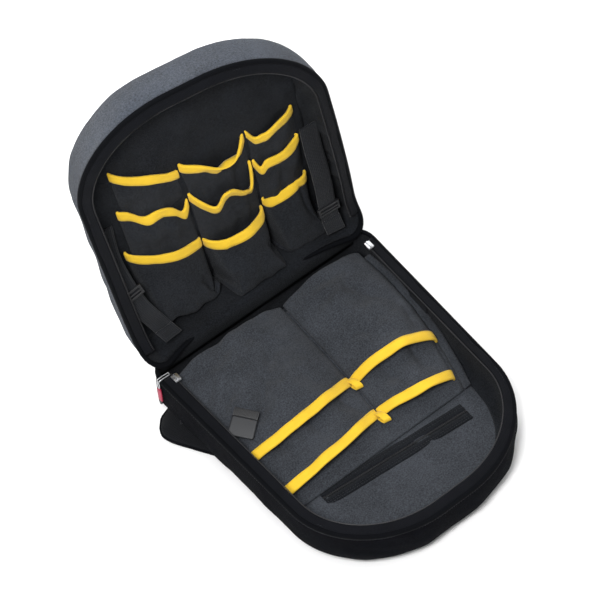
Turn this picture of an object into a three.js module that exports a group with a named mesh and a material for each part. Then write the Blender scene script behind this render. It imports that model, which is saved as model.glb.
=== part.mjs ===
// A tool backpack lying open on its back: a padded tray, a lid that stands up from a soft fabric hinge,
// rows of bound tool pockets inside both, loose webbing straps with ladder locks, zips and shoulder straps.
// Millimetres, +Z up. X runs across the bag and the hinge lies along X. The tray reaches towards -Y.
import * as THREE from "three";
import { mergeVertices } from "three/addons/utils/BufferGeometryUtils.js";

// Driving dimensions of the bag
const bagWidth = 340; // across the zip rim
const bagLength = 390; // from the hinge to the crown of the arched end
const archAcross = 148; // half width of each rounded shoulder of the arched end
const archAlong = 116; // length of that rounding
const hingeCorner = 30; // radius of the corners beside the hinge
const minCorner = 2; // the smallest that radius gets inside the walls
const narrowing = 0.075; // share of its width that the bag loses towards the arched end
const wall = 3; // padded fabric wall
const cloth = 1.6; // pocket cloth
const tapeThick = 1.1; // binding tape and zip tape
const webThick = 1.6; // webbing
const gap = 0.35; // clearance between pieces that lie on each other
const slopeGap = 0.6; // clearance of the pockets over the sloping board

const padThick = 13.4; // back padding that the bag rests on
const strapThick = 11; // shoulder straps, which lie under the tray
const trayDepth = 61; // from the tray's underside to its rim
const lidDepth = 58; // from the lid's rim to its outer face
const trayFloor = padThick + gap; // height of the tray's underside
const rimHeight = trayFloor + trayDepth;

const lidAngle = THREE.MathUtils.degToRad(85); // the lid leans back this far above the ground
const lidTwist = THREE.MathUtils.degToRad(-12.5); // its free end is turned towards one side
const lidTwistEnd = 0.75; // share of the lid's length where the whole turn is reached
const lidSlant = THREE.MathUtils.degToRad(-5.5); // it also leans to one side
const lidSlantStart = 0.25; // share of the lid's length where the whole lean is reached
const lidCurl = 10; // its free end hangs back this far
const rimBend = 30; // its side rims bend forwards to meet the tray's
const rimBendLength = 60; // from the hinge to where that bend starts

// Shapes of the walls. Each row is a ring: its share of the depth, how far it lies inside the rim's outline,
// and how far inside it along the hinge.
const trayOuterRings = [
  { depth: 1, inset: 9, hinge: 6 },
  { depth: 0.95, inset: 2.5, hinge: 2 },
  { depth: 0.8, inset: -1, hinge: 0 },
  { depth: 0.45, inset: -2.5, hinge: 0 },
  { depth: 0, inset: 0, hinge: 0 },
];
const lidOuterRings = [
  { depth: 1, inset: 19, hinge: 6 },
  { depth: 0.95, inset: 11, hinge: 2 },
  { depth: 0.8, inset: 6.5, hinge: 0 },
  { depth: 0.45, inset: 2, hinge: 0 },
  { depth: 0, inset: 0, hinge: 0 },
];
const innerRings = [
  { depth: 0, inset: 0, hinge: 0 },
  { depth: 0.45, inset: 1, hinge: 0 },
  { depth: 0.72, inset: 4, hinge: 1 },
  { depth: 0.9, inset: 11, hinge: 4 },
  { depth: 1, inset: 22, hinge: 8 },
];

// Lid pockets: three columns and three tiers, the lowest tier in front
// The columns' edges as shares of the bag's width. The first edge stands in each tier.
const lidColumns = [0, -0.078, 0.188, 0.39];
const lidColumnFull = [0.75, 1.15, 0.8]; // how full each column is
const lidColumnRise = [0.1, 0.01, 0, 0.005]; // how much higher the mouths are there, as shares of the length
const seamHalf = 1.9; // half the width of the sewn line between two pockets
const tierStep = 2.2; // each tier is sewn on this far above the one behind
// Each row of a tier: its height up the lid and its bulge, as shares of the bag's length and the lid's depth
const lidTiers = [
  {
    left: -0.325,
    mouthDip: 0.02,
    rows: [
      { up: 0.3, bulge: 0.02 },
      { up: 0.4, bulge: 0.12 },
      { up: 0.49, bulge: 0.18 },
      { up: 0.56, bulge: 0.23 },
    ],
  },
  {
    left: -0.345,
    mouthDip: 0.025,
    rows: [
      { up: 0.14, bulge: 0.02 },
      { up: 0.24, bulge: 0.2 },
      { up: 0.33, bulge: 0.29 },
      { up: 0.41, bulge: 0.35 },
    ],
  },
  {
    left: -0.372,
    mouthDip: 0.015,
    rows: [
      { up: 0.032, bulge: 0.03 },
      { up: 0.036, bulge: 0.3 },
      { up: 0.042, bulge: 0.6 },
      { up: 0.056, bulge: 0.76 },
      { up: 0.125, bulge: 0.68 },
      { up: 0.222, bulge: 0.5 },
    ],
  },
];

// The board that carries the tray's pockets slopes from the hinge down to the tray's floor. Each row: how far
// along it is, how high its top is over the floor and where its free right edge is, as shares of the length,
// the depth and the width.
const boardRows = [
  { along: 0.09, height: 0.56, right: 0.432 },
  { along: 0.2, height: 0.52, right: 0.43 },
  { along: 0.33, height: 0.45, right: 0.42 },
  { along: 0.46, height: 0.32, right: 0.4 },
  { along: 0.58, height: 0.16, right: 0.372 },
  { along: 0.65, height: 0.07, right: 0.345 },
];
const boardEdgeWidth = 11; // the rolled tape along its free edge
const boardEdgeThick = 6;

// Tray pockets: two tiers of two, mouths towards the arched end. along and bulge are shares as above.
// left and seam: shares of the width. margin: from the board's free edge. lift: over the board at the seams.
const trayTiers = [
  {
    name: "lower",
    left: -0.41,
    seam: 0.062,
    margin: 9,
    lift: 0,
    rows: [
      { along: 0.32, bulge: 0.02 },
      { along: 0.42, bulge: 0.18 },
      { along: 0.51, bulge: 0.28 },
      { along: 0.575, bulge: 0.36 },
    ],
    mouthPull: [
      [0.0, 0.02, -0.012],
      [-0.012, 0.02, 0.02],
    ],
  },
  {
    name: "upper",
    left: -0.445,
    seam: 0.06,
    margin: 3,
    lift: cloth + gap,
    rows: [
      { along: 0.1, bulge: 0.36 },
      { along: 0.2, bulge: 0.42 },
      { along: 0.33, bulge: 0.48 },
      { along: 0.44, bulge: 0.52 },
    ],
    mouthPull: [
      [0.0, 0.015, -0.02],
      [-0.02, 0.022, 0.085],
    ],
  },
];

// The fabric band over the hinge runs up behind the tray's end wall and on under the lid's
const hingeReach = 34; // from the bend, down the tray and back under the lid
const hingeBend = 7; // size of its rounded bend

// The zip across the tray's floor. Shares of the width and length, and its tape's width.
const floorZip = { left: -0.3, right: 0.33, along: 0.665, skew: 0.045, width: 26 };

// The two loose webbing straps inside the lid. across, up and back are shares of the width, length and depth.
// The first is where the strap is sewn to the side wall.
const lidStraps = [
  {
    name: "left",
    stations: [
      { side: -1, up: 0.5, back: 0.8 },
      { across: -0.41, up: 0.4, back: 0.55 },
      { across: -0.408, up: 0.32, back: 0.3 },
      { across: -0.395, up: 0.24, back: 0.14 },
      { across: -0.37, up: 0.14, back: 0.04 },
      { across: -0.35, up: 0.07, back: -0.02 },
    ],
    lock: 2,
  },
  {
    name: "right",
    stations: [
      { side: 1, up: 0.46, back: 0.72 },
      { across: 0.41, up: 0.34, back: 0.5 },
      { across: 0.405, up: 0.24, back: 0.32 },
      { across: 0.395, up: 0.15, back: 0.2 },
      { across: 0.39, up: 0.1, back: 0.14 },
      { across: 0.39, up: 0.04, back: 0.1 },
    ],
    lock: 3,
  },
];
const lockLength = 13; // along the webbing
const lockThick = 5;
const lockSide = 3.5; // the lock stands this far past the webbing's edges

// Ladder locks with long grey tongues on the tray, one at each side of the upper pockets
const trayLocks = [
  { name: "left", across: -0.36, along: 0.335, height: 0.985, slope: 14, turn: 44 },
  { name: "right", across: 0.462, along: 0.335, height: 0.77, slope: 92, turn: -90 },
];
const tongueLength = 25;
const tongueFlare = 1.06; // how much wider its free end is
const gripLength = 11;
const gripThick = 6;
const tongueThick = 2.4;

// Zip sliders at both ends of the zip, the left one with a long pull that hangs outside
const sliderLength = 13;
const sliderWidth = 9;
const sliderHeight = 5.5;
const pullLength = 34;
const pullWidth = 9;
const pullThick = 3;
const linkLength = 16;
const linkThick = 1.6;
const linkWidth = 5;
const pullGap = 2.1; // from the tray's wall to the pull

// Padded shoulder straps folded under the tray, their webbing, the yoke that joins them and the back's pads.
// across, along, half, from and to are shares of the bag's width and length.
const strapStations = [
  { across: 0.2, along: 0.9, width: 50 },
  { across: 0.215, along: 0.84, width: 60 },
  { across: 0.25, along: 0.66, width: 64 },
  { across: 0.3, along: 0.46, width: 66 },
  { across: 0.375, along: 0.28, width: 66 },
  { across: 0.44, along: 0.19, width: 64 },
  { across: 0.49, along: 0.135, width: 56 },
  { across: 0.525, along: 0.09, width: 40 },
];
const strapWeb = { fromAcross: 0.36, fromAlong: 0.035, toAcross: 0.465, toAlong: 0.17 };
const yoke = { width: 0.42, length: 0.075, along: 0.885 };
const pads = [
  { name: "back_pad_lumbar", half: 0.265, from: 0.05, to: 0.3, corner: 26 },
  { name: "back_pad_upper", half: 0.095, from: 0.35, to: 0.84, corner: 20 },
];

const bindingWidth = 10; // yellow tape along each pocket's mouth
const webWidth = 25; // webbing
const zipTapeWidth = 11;
const zipTooth = 2.6;
const zipRise = 3.5; // the zip's free edge stands this far over the rim

const black = fabric(0x24262b);
const lining = fabric(0x17181c);
const yellow = fabric(0xe8c53a);
const webbing = fabric(0x1b1c20);
const plastic = new THREE.MeshStandardMaterial({ color: 0x1d1e21, roughness: 0.5, metalness: 0 });
const tongueGrey = new THREE.MeshStandardMaterial({ color: 0x4a4c50, roughness: 0.6, metalness: 0 });
const steel = new THREE.MeshStandardMaterial({ color: 0xc4c6ca, roughness: 0.3, metalness: 1 });
const pullRed = new THREE.MeshStandardMaterial({ color: 0xb01f3a, roughness: 0.6, metalness: 0 });

function fabric(color) {
  return new THREE.MeshStandardMaterial({ color, roughness: 0.9, metalness: 0 });
}

const bag = new THREE.Group();

// Adds a named mesh made of points [x, y, z] and triangles, turned so that its faces point out.
function addSolid(name, points, faces, material) {
  let volume = 0;
  const [a, b, c] = [new THREE.Vector3(), new THREE.Vector3(), new THREE.Vector3()];
  for (const face of faces) {
    a.fromArray(points[face[0]]);
    b.fromArray(points[face[1]]);
    c.fromArray(points[face[2]]);
    volume += a.dot(b.cross(c));
  }
  const outward = volume < 0 ? faces.map(([i, j, k]) => [i, k, j]) : faces;
  const geometry = new THREE.BufferGeometry();
  geometry.setAttribute("position", new THREE.Float32BufferAttribute(points.flat(), 3));
  geometry.setIndex(outward.flat());
  const mesh = new THREE.Mesh(geometry, material);
  mesh.name = name;
  bag.add(mesh);
  return mesh;
}

// Joins rings of equal length into one closed solid. close fills the first and the last ring.
function loftRings(name, rings, material, close = fanCap) {
  const count = rings[0].length;
  const points = rings.flat();
  const faces = [];
  for (let r = 0; r + 1 < rings.length; r++)
    for (let i = 0; i < count; i++) {
      const next = (i + 1) % count;
      const [p, q] = [r * count + i, r * count + next];
      faces.push([p, q, q + count], [p, q + count, p + count]);
    }
  for (const r of [0, rings.length - 1]) {
    const cap = close(points, r * count, count);
    faces.push(...(r ? cap : cap.map(([i, j, k]) => [i, k, j])));
  }
  return addSolid(name, points, faces, material);
}

// Triangles from the middle of a ring to its edge.
function fanCap(points, first, count) {
  const ring = points.slice(first, first + count);
  points.push([0, 1, 2].map((k) => ring.reduce((sum, p) => sum + p[k], 0) / count));
  const centre = points.length - 1;
  return ring.map((_, i) => [first + i, first + ((i + 1) % count), centre]);
}

// Fills one of the bag's outlines with rows of triangles that run straight across it, from left to right.
const capColumns = 6;
function rowCap(points, first, count) {
  const rows = [];
  for (let i = 0; i < openCount / 2; i++) rows.push([i, openCount - 1 - i]);
  for (let i = 0; i < cornerSteps; i++) rows.unshift([count - 1 - i, openCount + i]);
  const grid = rows.map(([left, right], r) => {
    const [a, b] = [points[first + left], points[first + right]];
    const row = [first + left];
    const ends = r === 0 || r === rows.length - 1;
    for (let c = 1; c < capColumns && !ends; c++) {
      points.push(a.map((value, k) => value + ((b[k] - value) * c) / capColumns));
      row.push(points.length - 1);
    }
    return [...row, first + right];
  });
  const faces = [];
  for (let r = 0; r + 1 < grid.length; r++) {
    const [low, high] = [grid[r], grid[r + 1]];
    for (let c = 0; c < capColumns; c++) {
      if (c + 1 < high.length) faces.push([low[Math.min(c, low.length - 1)], high[c], high[c + 1]]);
      if (c + 1 < low.length) faces.push([low[c], high[Math.min(c + 1, high.length - 1)], low[c + 1]]);
    }
  }
  return faces;
}

// Closes two equal grids of points, front[row][column] and back[row][column], into a sheet.
function sheetSolid(name, front, back, material) {
  const [rows, columns] = [front.length, front[0].length];
  const points = [...front.flat(), ...back.flat()];
  const at = (side, r, c) => side * rows * columns + r * columns + c;
  const faces = [];
  const quad = (p, q, s, t) => faces.push([p, q, s], [p, s, t]);
  for (let r = 0; r + 1 < rows; r++)
    for (let c = 0; c + 1 < columns; c++) {
      quad(at(0, r, c), at(0, r, c + 1), at(0, r + 1, c + 1), at(0, r + 1, c));
      quad(at(1, r, c), at(1, r + 1, c), at(1, r + 1, c + 1), at(1, r, c + 1));
    }
  for (let c = 0; c + 1 < columns; c++) {
    quad(at(0, 0, c + 1), at(0, 0, c), at(1, 0, c), at(1, 0, c + 1));
    quad(at(0, rows - 1, c), at(0, rows - 1, c + 1), at(1, rows - 1, c + 1), at(1, rows - 1, c));
  }
  for (let r = 0; r + 1 < rows; r++) {
    quad(at(0, r, 0), at(0, r + 1, 0), at(1, r + 1, 0), at(1, r, 0));
    quad(at(0, r + 1, columns - 1), at(0, r, columns - 1), at(1, r, columns - 1), at(1, r + 1, columns - 1));
  }
  return addSolid(name, points, faces, material);
}

// The bag's outline at an inset, as [across, along] points. The first openCount of them follow the zip.
const sideSteps = 5;
const archSteps = 8;
const cornerSteps = 3;
const openCount = 2 * (sideSteps + archSteps + 1);

function outline(inset, hingeInset = inset) {
  const half = bagWidth / 2;
  const points = [];
  const corner = Math.max(hingeCorner - inset, minCorner);
  const start = gap + hingeInset + corner;
  const archStart = bagLength - archAlong;
  for (let i = 0; i <= sideSteps; i++) {
    points.push([-(half - inset), start + ((archStart - start) * i) / sideSteps]);
  }
  for (let i = 1; i <= archSteps; i++) {
    const turn = (Math.PI / 2) * (i / archSteps);
    const across = half - archAcross + (archAcross - inset) * Math.cos(turn);
    points.push([-across, archStart + (archAlong - inset) * Math.sin(turn)]);
  }
  for (const [across, along] of [...points].reverse()) points.push([-across, along]);
  for (const side of [1, -1])
    for (let i = 0; i < cornerSteps; i++) {
      const turn = (Math.PI / 2) * ((i + (side > 0 ? 1 : 0)) / cornerSteps);
      const lean = side > 0 ? turn : Math.PI / 2 - turn;
      const across = half - inset - corner + corner * Math.cos(lean);
      points.push([side * across, start - corner * Math.sin(lean)]);
    }
  return points.map(([across, along]) => [across * (1 - narrowing * (along / bagLength)), along]);
}

// Places in the tray: across, along from the hinge, and height above the ground.
function trayPoint(across, along, height) {
  return [across, -along, height];
}

// Places in the lid: across, up from the hinge and back from the rim. The lid turns and leans as it goes up.
function lidPoint(across, up, back) {
  const share = up / bagLength;
  const clamp01 = (value) => THREE.MathUtils.clamp(value, 0, 1);
  const turn = lidTwist * clamp01(share / lidTwistEnd);
  const tilt = Math.sin(lidSlant);
  const shifted = across + up * tilt;
  const height = up - across * tilt * clamp01(share / lidSlantStart);
  const nearSide = Math.pow(Math.abs(across) / (bagWidth / 2), 3);
  const bend = Math.pow(clamp01(1 - up / rimBendLength), 2) * nearSide;
  const forwards = rimBend * bend * clamp01(1 - back / lidDepth);
  const sideways = shifted * Math.cos(turn) - back * Math.sin(turn);
  const behind = shifted * Math.sin(turn) + back * Math.cos(turn) + lidCurl * share * share - forwards;
  return [
    sideways,
    height * Math.cos(lidAngle) + behind * Math.sin(lidAngle),
    rimHeight + height * Math.sin(lidAngle) - behind * Math.cos(lidAngle),
  ];
}

// Rings of a hollow half of the bag, from the edge of its outer face over the rim to the edge of its inside.
function shellRings(depth, outerRings, place) {
  const rings = [];
  for (const ring of outerRings) {
    const loop = outline(ring.inset, ring.hinge);
    rings.push(loop.map(([across, along]) => place(across, along, depth * ring.depth)));
  }
  for (const ring of innerRings) {
    const loop = outline(ring.inset + wall, ring.hinge + wall);
    rings.push(loop.map(([across, along]) => place(across, along, (depth - wall) * ring.depth)));
  }
  return rings;
}

function addShells() {
  const tray = (across, along, down) => trayPoint(across, along, rimHeight - down);
  loftRings("tray_shell", shellRings(trayDepth, trayOuterRings, tray), black, rowCap);
  loftRings("lid_shell", shellRings(lidDepth, lidOuterRings, lidPoint), black, rowCap);
}

// A strip swept along the zip's path. section holds [inset, height over the rim] corners.
function rimStrip(name, place, section, material) {
  const rings = [];
  const loops = section.map(([inset]) => outline(inset));
  for (let i = 0; i < openCount; i++)
    rings.push(section.map(([, rise], k) => place(loops[k][i][0], loops[k][i][1], rise)));
  return loftRings(name, rings, material);
}

function addZips() {
  const tray = (across, along, rise) => trayPoint(across, along, rimHeight + rise);
  const lid = (across, up, rise) => lidPoint(across, up, -rise);
  const start = wall + gap;
  const tape = [
    [start, -tapeThick],
    [start, 0],
    [start + zipTapeWidth, zipRise],
    [start + zipTapeWidth, zipRise - tapeThick],
  ];
  const toothStart = start + zipTapeWidth + gap;
  const teeth = [
    [toothStart, zipRise - zipTooth],
    [toothStart, zipRise],
    [toothStart + zipTooth, zipRise],
    [toothStart + zipTooth, zipRise - zipTooth],
  ];
  for (const [half, place] of [["tray", tray], ["lid", lid]]) {
    rimStrip(half + "_zip_tape", place, tape, black);
    rimStrip(half + "_zip_teeth", place, teeth, plastic);
  }
}

function addHinge() {
  const half = bagWidth / 2 - hingeCorner;
  const drops = [hingeReach, hingeBend * 1.6]; // places behind the tray, down from its rim
  const backs = [hingeBend * 2, hingeReach]; // places under the lid, back from its rim
  const bend = { back: hingeBend * 0.9, drop: hingeBend * 0.35, spread: 0.2 };
  const line = (across, thick) => {
    const out = gap + thick;
    const under = (back) => [
      across,
      back * Math.sin(lidAngle) - out * Math.cos(lidAngle),
      rimHeight - back * Math.cos(lidAngle) - out * Math.sin(lidAngle),
    ];
    const [x, y, z] = under(bend.back);
    const behind = drops.map((drop) => [across, out, rimHeight - drop]);
    return [...behind, [x, y + thick * bend.spread, z - bend.drop], ...backs.map(under)];
  };
  const sides = [-half, -half / 2, 0, half / 2, half];
  const outside = sides.map((across) => line(across, cloth));
  const inside = sides.map((across) => line(across, 0));
  sheetSolid("hinge_panel", outside, inside, black);
}

// How far the cloth of a pocket swells between its two seams, from 0 at a seam to 1 in the middle
const humpPower = 0.62;
function hump(share) {
  return Math.pow(Math.max(Math.sin(Math.PI * share), 0), humpPower);
}

// Value of a three-point table (left, middle, right) at a share of the way across
function across3([left, middle, right], share) {
  const bow = middle - (left + right) / 2;
  return left + (right - left) * share + bow * 4 * share * (1 - share);
}

const pocketColumns = 10;
const nearby = 0.02; // how far apart the points are that give the cloth's direction

// A pocket and the tape along its mouth. place(share, row, proud) gives a point of the pocket's cloth: share
// runs from one seam to the other, row from the closed end to the mouth, and proud lifts the point off what it
// is sewn to. tapeRows(share) is how much of the last row the tape covers.
function addPocket(name, place, rowCount, tapeRows) {
  const lifts = [0, cloth, cloth + gap, cloth + gap + tapeThick];
  const layers = lifts.map(() => []);
  const last = rowCount - 1;
  for (let r = 0; r <= rowCount; r++) {
    const lines = layers.map(() => []);
    for (let c = 0; c <= pocketColumns; c++) {
      const share = c / pocketColumns;
      const rowAt = (s) => (r < last ? r : r === last ? last - tapeRows(s) : last);
      const point = (s, shift = 0, proud = 0) => {
        const row = THREE.MathUtils.clamp(rowAt(s) + shift, 0, last);
        return new THREE.Vector3(...place(s, row, proud));
      };
      const here = point(share);
      const lifted = point(share, 0, 1).sub(here);
      const sidewards = point(Math.min(share + nearby, 1)).sub(point(Math.max(share - nearby, 0)));
      const along = point(share, nearby).sub(point(share, -nearby));
      const out = sidewards.cross(along).normalize();
      if (out.dot(lifted) < 0) out.negate();
      if (c === 0 || c === pocketColumns) out.copy(lifted).normalize();
      lifts.forEach((lift, k) => lines[k].push(here.clone().addScaledVector(out, lift).toArray()));
    }
    layers.forEach((layer, k) => layer.push(lines[k]));
  }
  sheetSolid(name, layers[1], layers[0], black);
  const tape = [layers[3], layers[2]].map((layer) => layer.slice(last));
  sheetSolid(name.replace("pocket", "binding"), ...tape, yellow);
}

// Reads a table of rows at a fractional row number.
function atRow(rows, row, key) {
  const low = Math.min(Math.floor(row), rows.length - 2);
  return THREE.MathUtils.lerp(rows[low][key], rows[low + 1][key], row - low);
}

const lidFloorBack = lidDepth - wall - 2 * gap;

function addLidPockets() {
  lidTiers.forEach((tier, t) => {
    for (let column = 0; column < 3; column++) {
      const left = (column ? lidColumns[column] : tier.left) * bagWidth + seamHalf;
      const right = lidColumns[column + 1] * bagWidth - seamHalf;
      const last = tier.rows.length - 1;
      const place = (share, row, proud) => {
        const nearMouth = Math.max(row - (last - 1), 0);
        const dip = tier.mouthDip * bagLength * nearMouth * Math.sin(Math.PI * share);
        const bulge = atRow(tier.rows, row, "bulge") * lidColumnFull[column] * lidDepth * hump(share);
        const rise = THREE.MathUtils.lerp(lidColumnRise[column], lidColumnRise[column + 1], share);
        const up = (atRow(tier.rows, row, "up") + (rise * row) / last) * bagLength - dip;
        const back = lidFloorBack - t * tierStep - bulge - proud;
        return lidPoint(THREE.MathUtils.lerp(left, right, share), up, back);
      };
      const rowLength = (tier.rows[last].up - tier.rows[last - 1].up) * bagLength;
      const dipLength = tier.mouthDip * bagLength;
      const tapeRows = (share) => bindingWidth / (rowLength - dipLength * Math.sin(Math.PI * share));
      addPocket("lid_pocket_" + (t + 1) + "_" + (column + 1), place, tier.rows.length, tapeRows);
    }
  });
}

const trayInside = trayFloor + wall + gap;

// Reads a table at any place along the tray.
function atAlong(rows, along, key) {
  let row = 0;
  while (row < rows.length - 2 && rows[row + 1].along < along) row++;
  const share = (along - rows[row].along) / (rows[row + 1].along - rows[row].along);
  return THREE.MathUtils.lerp(rows[row][key], rows[row + 1][key], share);
}

function boardTop(along) {
  return trayInside + atAlong(boardRows, along, "height") * trayDepth;
}

// Half the room between the side walls, at shares of the bag's length and of the depth below the rim
function roomAt(along, depth) {
  let ring = 0;
  while (ring < innerRings.length - 2 && innerRings[ring + 1].depth < depth) ring++;
  const [a, b] = [innerRings[ring], innerRings[ring + 1]];
  const inset = THREE.MathUtils.lerp(a.inset, b.inset, (depth - a.depth) / (b.depth - a.depth));
  return (bagWidth / 2 - wall - inset) * (1 - narrowing * along);
}

function addBoard() {
  const columns = 6;
  const line = (row, down) => {
    const height = boardTop(row.along) - down;
    const under = (rimHeight - boardTop(row.along) + wall) / (trayDepth - wall);
    const left = 2 * gap - roomAt(row.along, under);
    const right = row.right * bagWidth;
    return Array.from({ length: columns + 1 }, (_, c) =>
      trayPoint(THREE.MathUtils.lerp(left, right, c / columns), row.along * bagLength, height),
    );
  };
  const top = boardRows.map((row) => line(row, 0));
  const underside = boardRows.map((row) => line(row, wall));
  sheetSolid("pocket_board", top, underside, black);
  const stations = boardRows.map((row) => {
    const middle = row.right * bagWidth + gap + boardEdgeWidth / 2;
    const height = Math.max(boardTop(row.along) - wall / 2, trayInside + boardEdgeThick / 2 + wall);
    const at = trayPoint(middle, row.along * bagLength, height);
    return { at, side: [1, 0, 0], width: boardEdgeWidth };
  });
  addRibbon("board_edge", stations, boardEdgeThick, black);
}

function addTrayPockets() {
  for (const tier of trayTiers)
    ["left", "right"].forEach((side, s) => {
      const last = tier.rows.length - 1;
      const place = (share, row, proud) => {
        const nearMouth = Math.max(row - (last - 1), 0);
        const pull = across3(tier.mouthPull[s], share) * bagLength * nearMouth;
        const along = atRow(tier.rows, row, "along") * bagLength + pull;
        const free = atAlong(boardRows, along / bagLength, "right") * bagWidth - tier.margin;
        const seam = tier.seam * bagWidth;
        const [left, right] = s ? [seam + seamHalf, free] : [tier.left * bagWidth, seam - seamHalf];
        const bulge = atRow(tier.rows, row, "bulge") * trayDepth * hump(share);
        const height = boardTop(along / bagLength) + slopeGap + tier.lift + bulge + proud;
        return trayPoint(THREE.MathUtils.lerp(left, right, share), along, height);
      };
      const rowLength = (tier.rows[last].along - tier.rows[last - 1].along) * bagLength;
      const tapeRows = (share) => bindingWidth / (rowLength + across3(tier.mouthPull[s], share) * bagLength);
      addPocket("tray_pocket_" + tier.name + "_" + side, place, tier.rows.length, tapeRows);
    });
}

// A flat strip through stations {at, side, width}: at is its middle, side the direction of its width.
function addRibbon(name, stations, thick, material) {
  const rings = stations.map((station, i) => {
    const before = new THREE.Vector3(...stations[Math.max(i - 1, 0)].at);
    const after = new THREE.Vector3(...stations[Math.min(i + 1, stations.length - 1)].at);
    const side = new THREE.Vector3(...station.side).normalize();
    const out = after.sub(before).cross(side).normalize().multiplyScalar(thick / 2);
    side.multiplyScalar(station.width / 2);
    const middle = new THREE.Vector3(...station.at);
    return [
      middle.clone().add(side).add(out).toArray(),
      middle.clone().sub(side).add(out).toArray(),
      middle.clone().sub(side).sub(out).toArray(),
      middle.clone().add(side).sub(out).toArray(),
    ];
  });
  return loftRings(name, rings, material);
}

function addFloorZip() {
  const at = (share, rise) => {
    const across = THREE.MathUtils.lerp(floorZip.left, floorZip.right, share) * bagWidth;
    const along = (floorZip.along + floorZip.skew * share) * bagLength;
    return trayPoint(across, along, trayInside + rise);
  };
  const station = (share, rise, width) => ({ at: at(share, rise), side: [0, 1, 0], width });
  const tapeMiddle = tapeThick / 2;
  const toothMiddle = tapeThick + gap + zipTooth / 2;
  const tape = [0, 1].map((share) => station(share, tapeMiddle, floorZip.width));
  const teeth = [0, 1].map((share) => station(share, toothMiddle, zipTooth * 2));
  addRibbon("floor_zip_tape", tape, tapeThick, lining);
  addRibbon("floor_zip_teeth", teeth, zipTooth, plastic);
}

// A ladder lock: a plate with three slots, made flat about its middle, x across and y along the webbing.
function ladderLock(name, length, material) {
  const half = webWidth / 2 + lockSide;
  const shape = new THREE.Shape();
  shape.moveTo(-half, -length / 2);
  shape.lineTo(half, -length / 2);
  shape.lineTo(half, length / 2);
  shape.lineTo(-half, length / 2);
  shape.closePath();
  const slot = length / 6;
  for (const y of [-length / 4, length / 4]) {
    const hole = new THREE.Path();
    hole.moveTo(-webWidth / 2, y - slot / 2);
    hole.lineTo(-webWidth / 2, y + slot / 2);
    hole.lineTo(webWidth / 2, y + slot / 2);
    hole.lineTo(webWidth / 2, y - slot / 2);
    hole.closePath();
    shape.holes.push(hole);
  }
  const geometry = new THREE.ExtrudeGeometry(shape, { depth: lockThick / 2, bevelEnabled: false });
  geometry.translate(0, 0, webThick / 2 + gap);
  geometry.deleteAttribute("normal");
  geometry.deleteAttribute("uv");
  const mesh = new THREE.Mesh(mergeVertices(geometry), material);
  mesh.name = name;
  bag.add(mesh);
  return mesh;
}

// Stands a mesh at a point, its y axis along the strap, its x axis along the strap's width.
function orient(mesh, middle, side, along) {
  const y = new THREE.Vector3(...along).normalize();
  const z = new THREE.Vector3(...side).normalize().cross(y).normalize();
  const x = y.clone().cross(z);
  mesh.quaternion.setFromRotationMatrix(new THREE.Matrix4().makeBasis(x, y, z));
  mesh.position.set(...middle);
}

function addLidStraps() {
  for (const strap of lidStraps) {
    const place = ({ across, side, up, back }, shift = 0) => {
      const sewn = () => side * (roomAt(up, (back * lidDepth) / (lidDepth - wall)) - webWidth / 2 - 2 * gap);
      return lidPoint((side ? sewn() : across * bagWidth) + shift, up * bagLength, back * lidDepth);
    };
    const stations = strap.stations.map((station) => {
      const [a, b] = [place(station, -1), place(station, 1)];
      return { at: place(station), side: b.map((value, k) => value - a[k]), width: webWidth };
    });
    addRibbon("lid_strap_" + strap.name, stations, webThick, webbing);
    const here = stations[strap.lock];
    const next = stations[strap.lock + 1];
    const along = here.at.map((value, k) => value - next.at[k]);
    const middle = here.at.map((value, k) => (value + next.at[k]) / 2);
    orient(ladderLock("lid_lock_" + strap.name, lockLength, plastic), middle, here.side, along);
  }
}

function addTrayLocks() {
  for (const lock of trayLocks) {
    const half = webWidth / 2 + lockSide;
    const block = new THREE.BoxGeometry(half * 2, gripLength, gripThick);
    const grip = new THREE.Mesh(block, plastic);
    grip.name = "tray_lock_" + lock.name;
    grip.position.set(0, gripLength / 2 + gap, 0);
    const plate = new THREE.Shape();
    plate.moveTo(-half, 0);
    plate.lineTo(-half * tongueFlare, -tongueLength);
    plate.lineTo(half * tongueFlare, -tongueLength);
    plate.lineTo(half, 0);
    plate.closePath();
    const geometry = new THREE.ExtrudeGeometry(plate, { depth: tongueThick, bevelEnabled: false });
    const tongue = new THREE.Mesh(geometry, tongueGrey);
    tongue.name = "tray_tongue_" + lock.name;
    const group = new THREE.Group();
    group.add(grip, tongue);
    const height = trayFloor + lock.height * trayDepth;
    group.position.set(lock.across * bagWidth, -lock.along * bagLength, height);
    group.rotation.order = "ZYX";
    group.rotation.z = THREE.MathUtils.degToRad(-lock.turn);
    group.rotation.x = THREE.MathUtils.degToRad(lock.slope);
    bag.add(group);
  }
}

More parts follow.
